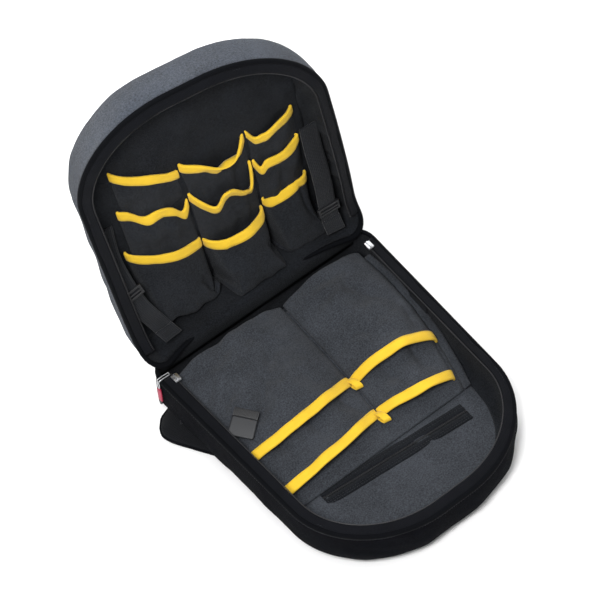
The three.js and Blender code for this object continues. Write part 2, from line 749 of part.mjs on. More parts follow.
function addSliders() {
  const inset = wall + zipTapeWidth + zipTooth;
  const box = (name, size, place, material) => {
    const mesh = new THREE.Mesh(new THREE.BoxGeometry(...size), material);
    mesh.name = name;
    mesh.position.set(...place);
    bag.add(mesh);
  };
  const sliderAcross = bagWidth / 2 - inset;
  const sliderAlong = hingeCorner + sliderLength * 0.8;
  const sliderMiddle = rimHeight + zipRise + gap + sliderHeight / 2;
  for (const [name, side] of [["left", -1], ["right", 1]]) {
    const place = [side * sliderAcross, -sliderAlong, sliderMiddle];
    box("slider_" + name, [sliderWidth, sliderLength, sliderHeight], place, steel);
  }
  const outside = bagWidth / 2 + pullGap + pullThick / 2;
  const top = rimHeight + zipRise + linkThick;
  const linkMiddle = top - linkLength / 2;
  box("pull_link", [linkThick, linkWidth, linkLength], [-outside, -hingeCorner, linkMiddle], steel);
  const tabMiddle = top - linkLength - gap - pullLength / 2;
  box("pull_tab", [pullThick, pullWidth, pullLength], [-outside, -hingeCorner, tabMiddle], pullRed);
  const span = outside - sliderAcross - sliderWidth / 2 - gap;
  const bridgePlace = [span / 2 - outside, gap - hingeCorner, top + gap + linkThick / 2];
  box("pull_bridge", [span, linkWidth, linkThick], bridgePlace, steel);
}

function roundedPlate(half, from, to, corner) {
  const shape = new THREE.Shape();
  shape.moveTo(-half + corner, from);
  shape.lineTo(half - corner, from);
  shape.absarc(half - corner, from + corner, corner, -Math.PI / 2, 0);
  shape.lineTo(half, to - corner);
  shape.absarc(half - corner, to - corner, corner, 0, Math.PI / 2);
  shape.lineTo(-half + corner, to);
  shape.absarc(-half + corner, to - corner, corner, Math.PI / 2, Math.PI);
  shape.lineTo(-half, from + corner);
  shape.absarc(-half + corner, from + corner, corner, Math.PI, Math.PI * 1.5);
  return shape;
}

function addBack() {
  for (const pad of pads) {
    const shape = roundedPlate(pad.half * bagWidth, -pad.to * bagLength, -pad.from * bagLength, pad.corner);
    const plate = { depth: padThick, bevelEnabled: false, curveSegments: 4 };
    const geometry = new THREE.ExtrudeGeometry(shape, plate);
    geometry.deleteAttribute("normal");
    geometry.deleteAttribute("uv");
    const mesh = new THREE.Mesh(mergeVertices(geometry, 0.01), lining);
    mesh.name = pad.name;
    bag.add(mesh);
  }
  for (const [name, side] of [["left", -1], ["right", 1]]) {
    const path = strapStations.map((s) => [side * s.across * bagWidth, -s.along * bagLength]);
    const stations = path.map(([x, y], i) => {
      const [before, after] = [path[Math.max(i - 1, 0)], path[Math.min(i + 1, path.length - 1)]];
      const side3 = [after[1] - before[1], before[0] - after[0], 0];
      return { at: [x, y, strapThick / 2], side: side3, width: strapStations[i].width };
    });
    addRibbon("shoulder_strap_" + name, stations, strapThick, lining);
    const webHeight = strapThick + gap + webThick / 2;
    const anchor = [side * strapWeb.fromAcross * bagWidth, -strapWeb.fromAlong * bagLength, webHeight];
    const strapEnd = [side * strapWeb.toAcross * bagWidth, -strapWeb.toAlong * bagLength, webHeight];
    const run = [strapEnd[1] - anchor[1], anchor[0] - strapEnd[0], 0];
    const web = [anchor, strapEnd].map((at) => ({ at, side: run, width: webWidth }));
    addRibbon("strap_web_" + name, web, webThick, webbing);
  }
  const thick = padThick - strapThick - gap;
  const band = new THREE.BoxGeometry(yoke.width * bagWidth, yoke.length * bagLength, thick);
  const joined = new THREE.Mesh(band, webbing);
  joined.name = "strap_yoke";
  joined.position.set(0, -yoke.along * bagLength, strapThick + gap + thick / 2);
  bag.add(joined);
}

addShells();
addZips();
addHinge();
addLidPockets();
addBoard();
addTrayPockets();
addFloorZip();
addLidStraps();
addTrayLocks();
addSliders();
addBack();

// The origin is the middle of the bag's box, on the ground.
const box = new THREE.Box3().setFromObject(bag);
bag.position.set(-(box.min.x + box.max.x) / 2, -(box.min.y + box.max.y) / 2, -box.min.z);

export default bag;
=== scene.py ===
"""A tool backpack lying open on its back, with its fabric, pockets, zips, webbing and pads."""
import math

import bmesh
import bpy
import numpy as np
from mathutils import Matrix, Vector


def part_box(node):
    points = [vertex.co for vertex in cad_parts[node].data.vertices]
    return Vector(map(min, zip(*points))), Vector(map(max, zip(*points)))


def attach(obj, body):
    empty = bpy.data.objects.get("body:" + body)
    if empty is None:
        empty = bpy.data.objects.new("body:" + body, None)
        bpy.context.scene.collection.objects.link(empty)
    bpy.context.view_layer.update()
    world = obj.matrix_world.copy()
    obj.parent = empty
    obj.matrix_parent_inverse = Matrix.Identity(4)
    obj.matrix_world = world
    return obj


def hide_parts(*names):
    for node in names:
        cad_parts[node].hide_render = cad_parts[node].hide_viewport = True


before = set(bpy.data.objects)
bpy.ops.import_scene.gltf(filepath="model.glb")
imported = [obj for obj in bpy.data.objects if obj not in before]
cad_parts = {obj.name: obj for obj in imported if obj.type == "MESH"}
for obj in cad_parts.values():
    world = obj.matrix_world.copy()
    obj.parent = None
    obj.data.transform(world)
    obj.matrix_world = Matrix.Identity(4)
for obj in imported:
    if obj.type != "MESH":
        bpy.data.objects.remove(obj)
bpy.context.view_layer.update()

# Sizes of the bag in millimetres, as in the frame
MM = 0.001
WIDTH = 340
LENGTH = 390
ARCH_ACROSS = 148
ARCH_ALONG = 116
HINGE_CORNER = 30
NARROWING = 0.075
WALL = 3
CLOTH = 1.6
GAP = 0.35
PAD_THICK = 13.4
STRAP_THICK = 11
TRAY_DEPTH = 61
LID_DEPTH = 58
TRAY_FLOOR = PAD_THICK + GAP
RIM = TRAY_FLOOR + TRAY_DEPTH
FLOOR_INSIDE = TRAY_FLOOR + WALL + GAP
LID_ANGLE = math.radians(85)
LID_TWIST = math.radians(-12.5)
LID_TWIST_END = 0.75
LID_SLANT = math.sin(math.radians(-5.5))
LID_SLANT_START = 0.25
LID_CURL = 10
RIM_BEND = 30
RIM_BEND_LENGTH = 60
HINGE_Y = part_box("tray_shell")[1].y / MM + GAP  # where the hinge line lies in the frame

# Rings of the walls: share of the depth, inset from the rim's outline, inset along the hinge
TRAY_OUTER = ((0, 0, 0), (0.45, -2.5, 0), (0.8, -1, 0), (0.95, 2.5, 2), (1, 9, 6))
LID_OUTER = ((0, 0, 0), (0.45, 2, 0), (0.8, 6.5, 0), (0.95, 11, 2), (1, 19, 6))
INNER = ((0, 0, 0), (0.45, 1, 0), (0.72, 4, 1), (0.9, 11, 4), (1, 22, 8))

# Steps round the outline
SIDE_STEPS = 58
ARCH_STEPS = 54
CROWN_STEPS = 12
CORNER_STEPS = 8
HINGE_STEPS = 60
ZIP_COUNT = 2 * (SIDE_STEPS + 1 + ARCH_STEPS) + CROWN_STEPS - 1

UPWARDS = np.array([0, 0, 1.0])


def lerp(a, b, share):
    return a + (b - a) * share


def smooth_table(xs, ys, at):
    """Values of a table of points, joined by a smooth curve."""
    xs, ys, at = (np.asarray(v, float) for v in (xs, ys, at))
    slopes = np.gradient(ys, xs)
    low = np.clip(np.searchsorted(xs, at, side="right") - 1, 0, len(xs) - 2)
    step = xs[low + 1] - xs[low]
    t = np.clip((at - xs[low]) / step, 0, 1)
    a, b = ys[low], ys[low + 1]
    ma, mb = slopes[low] * step, slopes[low + 1] * step
    return (
        a * (2 * t**3 - 3 * t**2 + 1)
        + ma * (t**3 - 2 * t**2 + t)
        + b * (3 * t**2 - 2 * t**3)
        + mb * (t**3 - t**2)
    )


def ripple(points, wavelength, seed, count=14):
    """A smooth random field with values near -1 to 1."""
    rng = np.random.default_rng(seed)
    turns = rng.normal(size=(count, points.shape[-1]))
    turns /= np.linalg.norm(turns, axis=1, keepdims=True)
    waves = 2 * math.pi / (wavelength * rng.uniform(0.6, 1.6, count))
    phases = rng.uniform(0, 2 * math.pi, count)
    return np.sin(points @ (turns * waves[:, None]).T + phases).sum(-1) / math.sqrt(count)


FOLD_SCALE = 2.7  # drawn folds are this many times as deep as their tables say
FOLD_POWER = 1.4  # under 2, so the bottom of a fold is sharp


def crease(u, v, start, end, width, depth):
    """A valley along the line from start to end, in the coordinates u and v of a sheet."""
    du, dv = end[0] - start[0], end[1] - start[1]
    length2 = du * du + dv * dv
    t = ((u - start[0]) * du + (v - start[1]) * dv) / length2
    off = ((u - start[0]) * dv - (v - start[1]) * du) / math.sqrt(length2)
    along = np.clip(1 - np.abs(2 * t - 1), 0, None)
    fade = np.where((t > 0) & (t < 1), np.sqrt(along), 0)
    return -depth * FOLD_SCALE * fade * np.exp(-np.abs(off / width) ** FOLD_POWER)


def tray_at(across, along, height):
    across, along, height = np.broadcast_arrays(across, along, height)
    return np.stack([across, HINGE_Y - along, height], -1).astype(float)


def lid_at(across, up, back):
    across, up, back = (np.asarray(v, float) for v in np.broadcast_arrays(across, up, back))
    share = up / LENGTH
    turn = LID_TWIST * np.clip(share / LID_TWIST_END, 0, 1)
    shifted = across + up * LID_SLANT
    height = up - across * LID_SLANT * np.clip(share / LID_SLANT_START, 0, 1)
    near = np.clip(1 - up / RIM_BEND_LENGTH, 0, 1) ** 2 * (np.abs(across) / (WIDTH / 2)) ** 3
    forwards = RIM_BEND * near * np.clip(1 - back / LID_DEPTH, 0, 1)
    sideways = shifted * np.cos(turn) - back * np.sin(turn)
    behind = shifted * np.sin(turn) + back * np.cos(turn) + LID_CURL * share * share - forwards
    y = height * math.cos(LID_ANGLE) + behind * math.sin(LID_ANGLE)
    z = RIM + height * math.sin(LID_ANGLE) - behind * math.cos(LID_ANGLE)
    return np.stack([sideways, HINGE_Y + y, z], -1)


def outline(inset, hinge=None):
    """The bag's outline at an inset as (across, along). The first ZIP_COUNT points follow the zip."""
    hinge = inset if hinge is None else hinge
    half = WIDTH / 2
    corner = max(HINGE_CORNER - inset, 2)
    start = GAP + hinge + corner
    arch_start = LENGTH - ARCH_ALONG
    reach = np.linspace(start, arch_start, SIDE_STEPS + 1)
    side = np.stack([np.full(len(reach), inset - half), reach], 1)
    turn = np.linspace(0, math.pi / 2, ARCH_STEPS + 1)[1:]
    across = half - ARCH_ACROSS + (ARCH_ACROSS - inset) * np.cos(turn)
    arch = np.stack([-across, arch_start + (ARCH_ALONG - inset) * np.sin(turn)], 1)
    crown_half = half - ARCH_ACROSS
    crown = np.linspace(-crown_half, crown_half, CROWN_STEPS + 1)[1:-1]
    crown = np.stack([crown, np.full(len(crown), LENGTH - inset)], 1)
    left = np.concatenate([side, arch])
    bend = np.linspace(0, math.pi / 2, CORNER_STEPS + 1)[1:]
    right = np.stack([half - inset - corner + corner * np.cos(bend), start - corner * np.sin(bend)], 1)
    edge = np.linspace(half - inset - corner, inset + corner - half, HINGE_STEPS + 1)[1:-1]
    hinge_edge = np.stack([edge, np.full(len(edge), start - corner)], 1)
    mirror = (-1, 1)
    whole = np.concatenate([left, crown, left[::-1] * mirror, right, hinge_edge, right[::-1] * mirror])
    whole[:, 0] *= 1 - NARROWING * whole[:, 1] / LENGTH
    return whole


def ring_table(table, shares):
    """Depth, inset and hinge inset at shares of the way along a table of rings."""
    table = np.array(table, float)
    steps = np.hypot(np.diff(table[:, 0]) * TRAY_DEPTH, np.diff(table[:, 1]))
    reach = np.concatenate([[0], np.cumsum(steps)])
    reach /= reach[-1]
    return np.stack([smooth_table(reach, table[:, k], shares) for k in range(3)], 1)


# Mesh building

def add_object(name, data):
    made = bpy.data.objects.new(name, data)
    bpy.context.scene.collection.objects.link(made)
    return made


def add_mesh(name, points, faces, uv, material):
    """A smooth mesh from points in millimetres, with one pair of uv for each corner of a face."""
    faces = np.asarray(faces, np.int32)
    mesh = bpy.data.meshes.new(name)
    mesh.vertices.add(len(points))
    mesh.vertices.foreach_set("co", (np.asarray(points, float) * MM).astype(np.float32).ravel())
    mesh.loops.add(faces.size)
    mesh.loops.foreach_set("vertex_index", faces.ravel())
    mesh.polygons.add(len(faces))
    mesh.polygons.foreach_set("loop_start", np.arange(0, faces.size, faces.shape[1], dtype=np.int32))
    mesh.update(calc_edges=True)
    mesh.polygons.foreach_set("use_smooth", np.ones(len(faces), bool))
    layer = mesh.uv_layers.new(name="UVMap")
    layer.data.foreach_set("uv", (np.asarray(uv, float) * MM).astype(np.float32).ravel())
    mesh.materials.append(material)
    return add_object(name, mesh)


def finish_piece(piece, slot, *nodes, fill=None):
    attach(piece, "root")
    if nodes:
        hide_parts(*nodes)
    return piece


def grid_normals(points, wrap=False):
    """Normals of a grid of points, rows by columns. wrap joins the last column to the first."""
    down = np.gradient(points, axis=0)
    if wrap:
        right = (np.roll(points, -1, 1) - np.roll(points, 1, 1)) / 2
    else:
        right = np.gradient(points, axis=1)
    normals = np.cross(right, down)
    return normals / np.maximum(np.linalg.norm(normals, axis=-1, keepdims=True), 1e-9)


def grid_uv(points, wrap=False):
    """Lengths along a grid in millimetres. A wrapped grid gets one more column."""
    if wrap:
        points = np.concatenate([points, points[:, :1]], 1)
    across = np.linalg.norm(np.diff(points, axis=1), axis=-1).mean(0)
    along = np.linalg.norm(np.diff(points, axis=0), axis=-1).mean(1)
    u = np.concatenate([[0], np.cumsum(across)])
    v = np.concatenate([[0], np.cumsum(along)])
    return np.stack(np.meshgrid(u, v), -1)


def grid_faces(rows, columns, uv, wrap):
    """Faces between the rows and columns of a grid, with the uv of each of their corners."""
    r, c = np.meshgrid(np.arange(rows - 1), np.arange(columns if wrap else columns - 1), indexing="ij")
    n = (c + 1) % columns
    faces = np.stack([a * columns + b for a, b in ((r, c), (r, n), (r + 1, n), (r + 1, c))], -1)
    maps = np.stack([uv[r, c], uv[r, c + 1], uv[r + 1, c + 1], uv[r + 1, c]], -2)
    return faces.reshape(-1, 4), maps.reshape(-1, 4, 2)


def sheet(name, points, thick, material, wrap=False):
    """A closed sheet: the grid of points is its front and the back lies thick behind it."""
    rows, columns = points.shape[:2]
    uv = grid_uv(points, wrap)
    back = points - grid_normals(points, wrap) * thick
    total = rows * columns
    front, corners = grid_faces(rows, columns, uv, wrap)
    faces = [front, front[:, ::-1] + total]
    maps = [corners, corners[:, ::-1]]

    def close(a, b, uv_a, uv_b):
        faces.append(np.stack([a, b, b + total, a + total], -1))
        maps.append(np.stack([uv_a, uv_b, uv_b, uv_a], 1))

    spans = np.arange(columns if wrap else columns - 1)
    after = (spans + 1) % columns
    last = (rows - 1) * columns
    close(after, spans, uv[0, spans + 1], uv[0, spans])
    close(last + spans, last + after, uv[-1, spans], uv[-1, spans + 1])
    if not wrap:
        left = np.arange(rows - 1) * columns
        right = left + columns - 1
        close(left, left + columns, uv[:-1, 0], uv[1:, 0])
        close(right + columns, right, uv[1:, -1], uv[:-1, -1])
    everything = np.concatenate([points.reshape(-1, 3), back.reshape(-1, 3)])
    return add_mesh(name, everything, np.concatenate(faces), np.concatenate(maps), material)


def reach_of(path):
    """Length along a path up to each of its points."""
    return np.concatenate([[0], np.cumsum(np.linalg.norm(np.diff(path, axis=0), axis=1))])


def columns_at(at, steps, values):
    """Each column of values, which are given at steps, read at other places."""
    return np.stack([np.interp(at, steps, values[:, k]) for k in range(values.shape[1])], 1)


def resample(path, pitch):
    """Points along a path at an even pitch, with their directions and their shares of its length."""
    path = np.asarray(path, float)
    reach = reach_of(path)
    count = max(int(reach[-1] / pitch), 1)
    at = (np.arange(count) + 0.5) * reach[-1] / count
    step = pitch * 0.2
    direction = columns_at(at + step, reach, path) - columns_at(at - step, reach, path)
    return columns_at(at, reach, path), unit(direction), at / reach[-1]


def full_turn(steps):
    """Angles evenly round a circle."""
    return np.arange(steps) * 2 * math.pi / steps


def squared(wave, power):
    """A sine or cosine made squarer, for a section with rounded corners."""
    return np.sign(wave) * np.abs(wave) ** power


def unit(vectors):
    vectors = np.asarray(vectors, float)
    return vectors / np.maximum(np.linalg.norm(vectors, axis=-1, keepdims=True), 1e-9)


def stamp(name, shape, faces, places, along, out, material):
    """Copies of a small shape at places. Its x follows along and its z points out."""
    along, out = unit(along), unit(out)
    side = unit(np.cross(out, along))
    out = np.cross(along, side)
    shape = np.asarray(shape, float)
    points = (
        places[:, None, :]
        + shape[None, :, 0:1] * along[:, None, :]
        + shape[None, :, 1:2] * side[:, None, :]
        + shape[None, :, 2:3] * out[:, None, :]
    )
    faces = np.asarray(faces)
    corners = faces.shape[1]
    offsets = np.arange(len(places))[:, None, None] * len(shape)
    uv = np.broadcast_to(shape[faces][None, :, :, :2], (len(places), *faces.shape, 2))
    faces = (faces[None] + offsets).reshape(-1, corners)
    return add_mesh(name, points.reshape(-1, 3), faces, uv.reshape(-1, corners, 2), material)


def spindle(length, radius, sides=6):
    """A stitch: a ring of points round the middle and a point at each end."""
    turn = full_turn(sides)
    ring = np.stack([np.zeros(sides), np.cos(turn) * radius, np.sin(turn) * radius * 0.8], 1)
    points = [[-length / 2, 0, -radius * 0.6], *ring, [length / 2, 0, -radius * 0.6]]
    faces = []
    for i in range(sides):
        a, b = 1 + i, 1 + (i + 1) % sides
        faces += [[0, b, a], [sides + 1, a, b]]
    return points, faces


def stitches(name, paths, material, slot, pitch=3.6, length=2.6, radius=0.32):
    """Rows of stitches along paths, each a pair of points and the way out of the cloth."""
    places, along, out = [], [], []
    for path, normals in paths:
        points, direction, share = resample(path, pitch)
        normals = np.broadcast_to(np.asarray(normals, float), np.shape(path))
        reach = reach_of(path)
        places.append(points)
        along.append(direction)
        out.append(columns_at(share, reach / reach[-1], normals))
    shape, faces = spindle(length, radius)
    rows = [np.concatenate(part) for part in (places, along, out)]
    return finish_piece(stamp(name, shape, faces, *rows, material), slot)


def tube(name, path, radius, material, sides=8, closed=False, out=(0, 0, 1)):
    """A round cord along a path of points."""
    path = np.asarray(path, float)
    along = unit(np.roll(path, -1, 0) - np.roll(path, 1, 0) if closed else np.gradient(path, axis=0))
    side = unit(np.cross(along, np.broadcast_to(np.asarray(out, float), path.shape)))
    up = np.cross(side, along)
    turn = full_turn(sides)
    ring = side[:, None, :] * np.cos(turn)[None, :, None] + up[:, None, :] * np.sin(turn)[None, :, None]
    points = path[:, None, :] + ring * radius
    if closed:
        points = np.concatenate([points, points[:1]])
    return rolled(name, points, material, cap=not closed)


def rolled(name, points, material, cap=True):
    """A closed surface through rings of points, with the two ends filled."""
    rows, sides = points.shape[:2]
    faces, maps = grid_faces(rows, sides, grid_uv(points, wrap=True), True)
    everything = points.reshape(-1, 3)
    if cap:
        for ring in (0, rows - 1):
            middle = len(everything)
            everything = np.concatenate([everything, points[ring].mean(0)[None]])
            start = np.arange(0, sides, 2)
            around = [ring * sides + (start + k) % sides for k in range(3)]
            quads = np.stack([*around, np.full(len(start), middle)], -1)
            faces = np.concatenate([faces, quads if ring else quads[:, ::-1]])
            maps = np.concatenate([maps, np.zeros((len(start), 4, 2))])
    return add_mesh(name, everything, faces, maps, material)


# Materials

class Shader:
    """A node material, with short calls for the nodes that its detail needs."""

    def __init__(self, name, **sockets):
        self.material = bpy.data.materials.new(name)
        self.material.use_nodes = True
        self.tree = self.material.node_tree
        self.surface = self.tree.nodes["Principled BSDF"]
        for key, value in sockets.items():
            self.surface.inputs[key.replace("_", " ")].default_value = value

    def node(self, kind, **settings):
        made = self.tree.nodes.new("ShaderNode" + kind)
        for key, value in settings.items():
            setattr(made, key, value)
        return made

    def join(self, source, node, socket):
        self.tree.links.new(source, node.inputs[socket])

    def math(self, operation, a, b=0.0, c=0.0):
        made = self.node("Math", operation=operation)
        for k, value in enumerate((a, b, c)):
            if isinstance(value, (int, float)):
                made.inputs[k].default_value = value
            else:
                self.join(value, made, k)
        return made.outputs[0]

    def wave(self, uv, axis, pitch):
        """A sine along u or v with its crests pitch millimetres apart."""
        parts = self.node("SeparateXYZ")
        self.join(uv, parts, 0)
        turned = self.math("MULTIPLY", parts.outputs[axis], 2 * math.pi / (pitch * MM))
        return self.math("SINE", turned)

    def noise(self, size, detail=3.0, rough=0.5):
        """Noise in the object's own space, with lumps of about size millimetres."""
        place = self.node("TexCoord")
        made = self.node("TexNoise")
        self.join(place.outputs["Object"], made, "Vector")
        made.inputs["Scale"].default_value = 1 / (size * MM)
        made.inputs["Detail"].default_value = detail
        made.inputs["Roughness"].default_value = rough
        return made.outputs["Fac"]

    def spread(self, value, low, high):
        made = self.node("MapRange")
        self.join(value, made, "Value")
        made.inputs["To Min"].default_value = low
        made.inputs["To Max"].default_value = high
        return made.outputs[0]

    def colour(self, share, dark, light):
        made = self.node("Mix", data_type="RGBA")
        self.join(share, made, 0)
        made.inputs[6].default_value = (*dark, 1)
        made.inputs[7].default_value = (*light, 1)
        self.join(made.outputs[2], self.surface, "Base Color")

    def bump(self, height, strength, depth):
        made = self.node("Bump")
        made.inputs["Strength"].default_value = strength
        made.inputs["Distance"].default_value = depth * MM
        self.join(height, made, "Height")
        self.join(made.outputs[0], self.surface, "Normal")


def shade(colour, factor):
    return tuple(min(c * factor, 1) for c in colour)


def woven(name, colour, pitch=1.2, depth=0.25, sheen=0.25, rough=0.85, mottle=0.3, gloss=0.1):
    """Plain weave: threads cross in both directions, with a slow change of tone."""
    made = Shader(name, Roughness=rough, Sheen_Weight=sheen, Sheen_Roughness=0.45, Specular_IOR_Level=gloss)
    uv = made.node("TexCoord").outputs["UV"]
    threads = made.math("MULTIPLY", made.wave(uv, 0, pitch), made.wave(uv, 1, pitch))
    flecks = made.noise(pitch * 1.4, detail=2.0, rough=0.6)
    slow = made.noise(45, detail=3.0)
    height = made.math("MULTIPLY_ADD", flecks, 2, threads)
    grain = made.math("MULTIPLY_ADD", flecks, 2.4, -1.2)
    drift = made.math("MULTIPLY_ADD", slow, 0.9, -0.45)
    fleck_tone = made.math("MULTIPLY_ADD", threads, 0.12, grain)
    tone = made.math("ADD", fleck_tone, made.math("ADD", drift, 0.5))
    made.colour(tone, shade(colour, 1 - 1.5 * mottle), shade(colour, 1 + 1.9 * mottle))
    made.join(made.spread(slow, rough - 0.06, rough + 0.06), made.surface, "Roughness")
    made.bump(height, 0.75, depth)
    return made.material


def ribbed(name, colour, axis, pitch, depth=0.3, sheen=0.1, rough=0.75, mottle=0.15, fine=0.7, gloss=0.15):
    """Tape or webbing with ribs across the given axis and a finer weave over them."""
    made = Shader(name, Roughness=rough, Sheen_Weight=sheen, Sheen_Roughness=0.4, Specular_IOR_Level=gloss)
    uv = made.node("TexCoord").outputs["UV"]
    ribs = made.wave(uv, axis, pitch)
    weave = made.math("MULTIPLY", made.wave(uv, 0, fine), made.wave(uv, 1, fine))
    slow = made.noise(18, detail=3.0)
    height = made.math("MULTIPLY_ADD", weave, 0.3, ribs)
    tone = made.math("MULTIPLY_ADD", ribs, 0.22, slow)
    made.colour(made.spread(tone, 0.0, 1.0), shade(colour, 1 - mottle), shade(colour, 1 + mottle))
    made.join(made.spread(slow, rough - 0.08, rough + 0.08), made.surface, "Roughness")
    made.bump(height, 0.7, depth)
    return made.material


def moulded(name, colour, rough=0.45, metal=0.0, grain=0.6, depth=0.05, mottle=0.12):
    """Moulded plastic, rubber or plated metal with a fine grain and slight wear."""
    made = Shader(name, Roughness=rough, Metallic=metal, Specular_IOR_Level=0.5)
    fine = made.noise(grain, detail=2.0)
    slow = made.noise(9, detail=4.0, rough=0.6)
    made.colour(made.spread(slow, 0.0, 1.0), shade(colour, 1 - mottle), shade(colour, 1 + mottle))
    made.join(made.spread(slow, rough - 0.1, rough + 0.12), made.surface, "Roughness")
    made.bump(fine, 0.4, depth)
    return made.material


def mesh_knit(name, colour):
    """Padded knitted mesh: small round holes in offset rows."""
    made = Shader(name, Roughness=0.9, Sheen_Weight=0.04, Sheen_Roughness=0.5, Specular_IOR_Level=0.05)
    uv = made.node("TexCoord").outputs["UV"]
    a, b = made.wave(uv, 0, 3.2), made.wave(uv, 1, 2.6)
    holes = made.math("MULTIPLY", a, b)
    slow = made.noise(30, detail=3.0)
    tone = made.math("MULTIPLY_ADD", holes, 0.3, slow)
    made.colour(made.spread(tone, 0.1, 1.0), shade(colour, 0.6), shade(colour, 1.4))
    made.bump(holes, 0.8, 0.6)
    return made.material


LID_CLOTH = woven(
    "lid_cloth", (0.040, 0.047, 0.061), pitch=1.5, depth=0.4, sheen=0.12, mottle=0.32, gloss=0.15
)
# The tray's cloth is the same shell fabric as the lid's, made far darker: painted shade for the tray walls,
# which the lamps barely light, and for the back that the bag lies on.
TRAY_CLOTH_PAINTED_SHADE = woven(
    "tray_cloth_painted_shade", (0.0022, 0.0026, 0.0040), pitch=1.5, depth=0.3, sheen=0.01, mottle=0.35, gloss=0.02
)
# The tray's board, floor and pockets use the same fabric as the lid's pockets, made about two and a half
# times lighter: the fabric's own dark grey with a painted sheen from the lamps overhead.
PANEL_CLOTH_PAINTED_SHEEN = woven("panel_cloth_painted_sheen", (0.037, 0.041, 0.0485), depth=0.28, sheen=0.06, gloss=0.12)
POCKET_CLOTH = woven(
    "pocket_cloth", (0.0145, 0.0162, 0.0196), depth=0.3, sheen=0.05, mottle=0.34, gloss=0.08
)
LINING_CLOTH = woven(
    "lining_cloth", (0.0098, 0.0110, 0.0134), depth=0.28, sheen=0.03, mottle=0.34, gloss=0.06
)
ZIP_CLOTH = ribbed("zip_cloth", (0.0055, 0.0060, 0.0078), 0, 1.6, sheen=0.02, mottle=0.3, gloss=0.05)
EDGE_CLOTH = ribbed(
    "edge_cloth", (0.0030, 0.0034, 0.0045), 0, 1.2, depth=0.2, sheen=0.01, mottle=0.2, gloss=0.04
)
YELLOW_TAPE = ribbed(
    "yellow_tape", (0.78, 0.50, 0.032), 0, 1.1, depth=0.15, sheen=0.15, rough=0.7, mottle=0.1
)
WEB_CLOTH = ribbed("web_cloth", (0.0110, 0.0122, 0.0150), 0, 2.4, depth=0.6, rough=0.7, mottle=0.4)
PAD_MESH = mesh_knit("pad_mesh", (0.0095, 0.0102, 0.0120))
THREAD = ribbed("thread", (0.022, 0.024, 0.029), 0, 0.6, depth=0.1, rough=0.6)
YELLOW_THREAD = ribbed("yellow_thread", (0.56, 0.36, 0.025), 0, 0.6, depth=0.1, rough=0.6)
COIL = moulded("coil_nylon", (0.0095, 0.0095, 0.0115), rough=0.42)
BUCKLE = moulded("buckle_plastic", (0.012, 0.0125, 0.014), rough=0.42)
TONGUE = moulded("tongue_plastic", (0.016, 0.0175, 0.0205), rough=0.55, grain=0.9, depth=0.08)
METAL = moulded("slider_metal", (0.62, 0.63, 0.65), rough=0.28, metal=1.0, grain=1.5, depth=0.03)
RUBBER = moulded("pull_rubber", (0.36, 0.012, 0.05), rough=0.55, grain=1.0, depth=0.12)
TIP = moulded("pull_tip", (0.012, 0.012, 0.013), rough=0.6)


# Walls and panels

OUTER_THICK = 1.1
BACK_THICK = 1.0
LINING_THICK = 0.9
PANEL_COLUMNS = 64
PANEL_OVERLAP = 0.6  # how far a panel reaches over the last ring of its wall
LINING_OVERLAP = 3


def panel_grid(inset, hinge):
    """Rows of points straight across the outline, from the hinge to the crown, as (across, along)."""
    loop = outline(inset, hinge)
    count = SIDE_STEPS + 1 + ARCH_STEPS
    left = list(loop[:count])
    right = list(loop[ZIP_COUNT - 1 : ZIP_COUNT - 1 - count : -1])
    for i in range(CORNER_STEPS):
        left.insert(0, loop[-1 - i])
        right.insert(0, loop[ZIP_COUNT + i])
    left, right = np.array(left), np.array(right)
    share = np.linspace(0, 1, PANEL_COLUMNS + 1)[None, :, None]
    return lerp(left[:, None, :], right[:, None, :], share)


def tray_down(across, along, down):
    return tray_at(across, along, RIM - down)


def wall(name, place, depth, table, material, folds, inset=0.0, steps=26, flip=False):
    """A side wall from the rim to the edge of the panel. folds(share, flat, points) pushes it out."""
    rings = ring_table(table, np.linspace(0, 1, steps))
    loops = [outline(ring[1] + inset, ring[2] + inset) for ring in rings]
    points = [place(loop[:, 0], loop[:, 1], depth * ring[0]) for loop, ring in zip(loops, rings)]
    turn = slice(None, None, -1 if flip else 1)
    points = np.stack(points)[:, turn]
    flat = np.stack(loops)[:, turn]
    share = np.broadcast_to(np.linspace(0, 1, steps)[:, None], points.shape[:2])
    points = points + grid_normals(points, wrap=True) * folds(share, flat, points)[..., None]
    return sheet(name, points, OUTER_THICK, material, wrap=True)


def between(share, low, high):
    """Rises from 0 at low to 1 at high, smoothly."""
    t = np.clip((share - low) / (high - low), 0, 1)
    return t * t * (3 - 2 * t)


def held(share):
    """1 in the middle of a wall and 0 at its sewn edges."""
    return np.sin(np.pi * np.clip(share, 0, 1)) ** 0.7


def lid_outer_folds(share, flat, points):
    slow = ripple(points, 90, 3) * 1.1 + ripple(points, 38, 4) * 0.45 + 1
    fine = ripple(points * (1, 1, 0.4), 15, 7) * 0.2
    return held(share) * (np.maximum(slow, 0) + fine + 0.3)


def tray_outer_folds(share, flat, points):
    slow = ripple(points * (1, 1, 0.5), 70, 5) * 1.4 + ripple(points, 26, 6) * 0.5 + 0.6
    return held(share) * np.maximum(slow, -0.3)


def add_walls():
    lid = wall("lid_wall", lid_at, LID_DEPTH, LID_OUTER, LID_CLOTH, lid_outer_folds)
    finish_piece(lid, "shell_fabric", "lid_shell")
    tray = wall("tray_wall", tray_down, TRAY_DEPTH, TRAY_OUTER, TRAY_CLOTH_PAINTED_SHADE, tray_outer_folds, flip=True)
    finish_piece(tray, "shell_fabric", "tray_shell")


def panel_middle(across, along):
    """1 in the middle of a panel and 0 at its edges."""
    return np.clip(1 - (2 * across / WIDTH) ** 2, 0, 1) * np.clip(np.sin(np.pi * along / LENGTH), 0, 1)


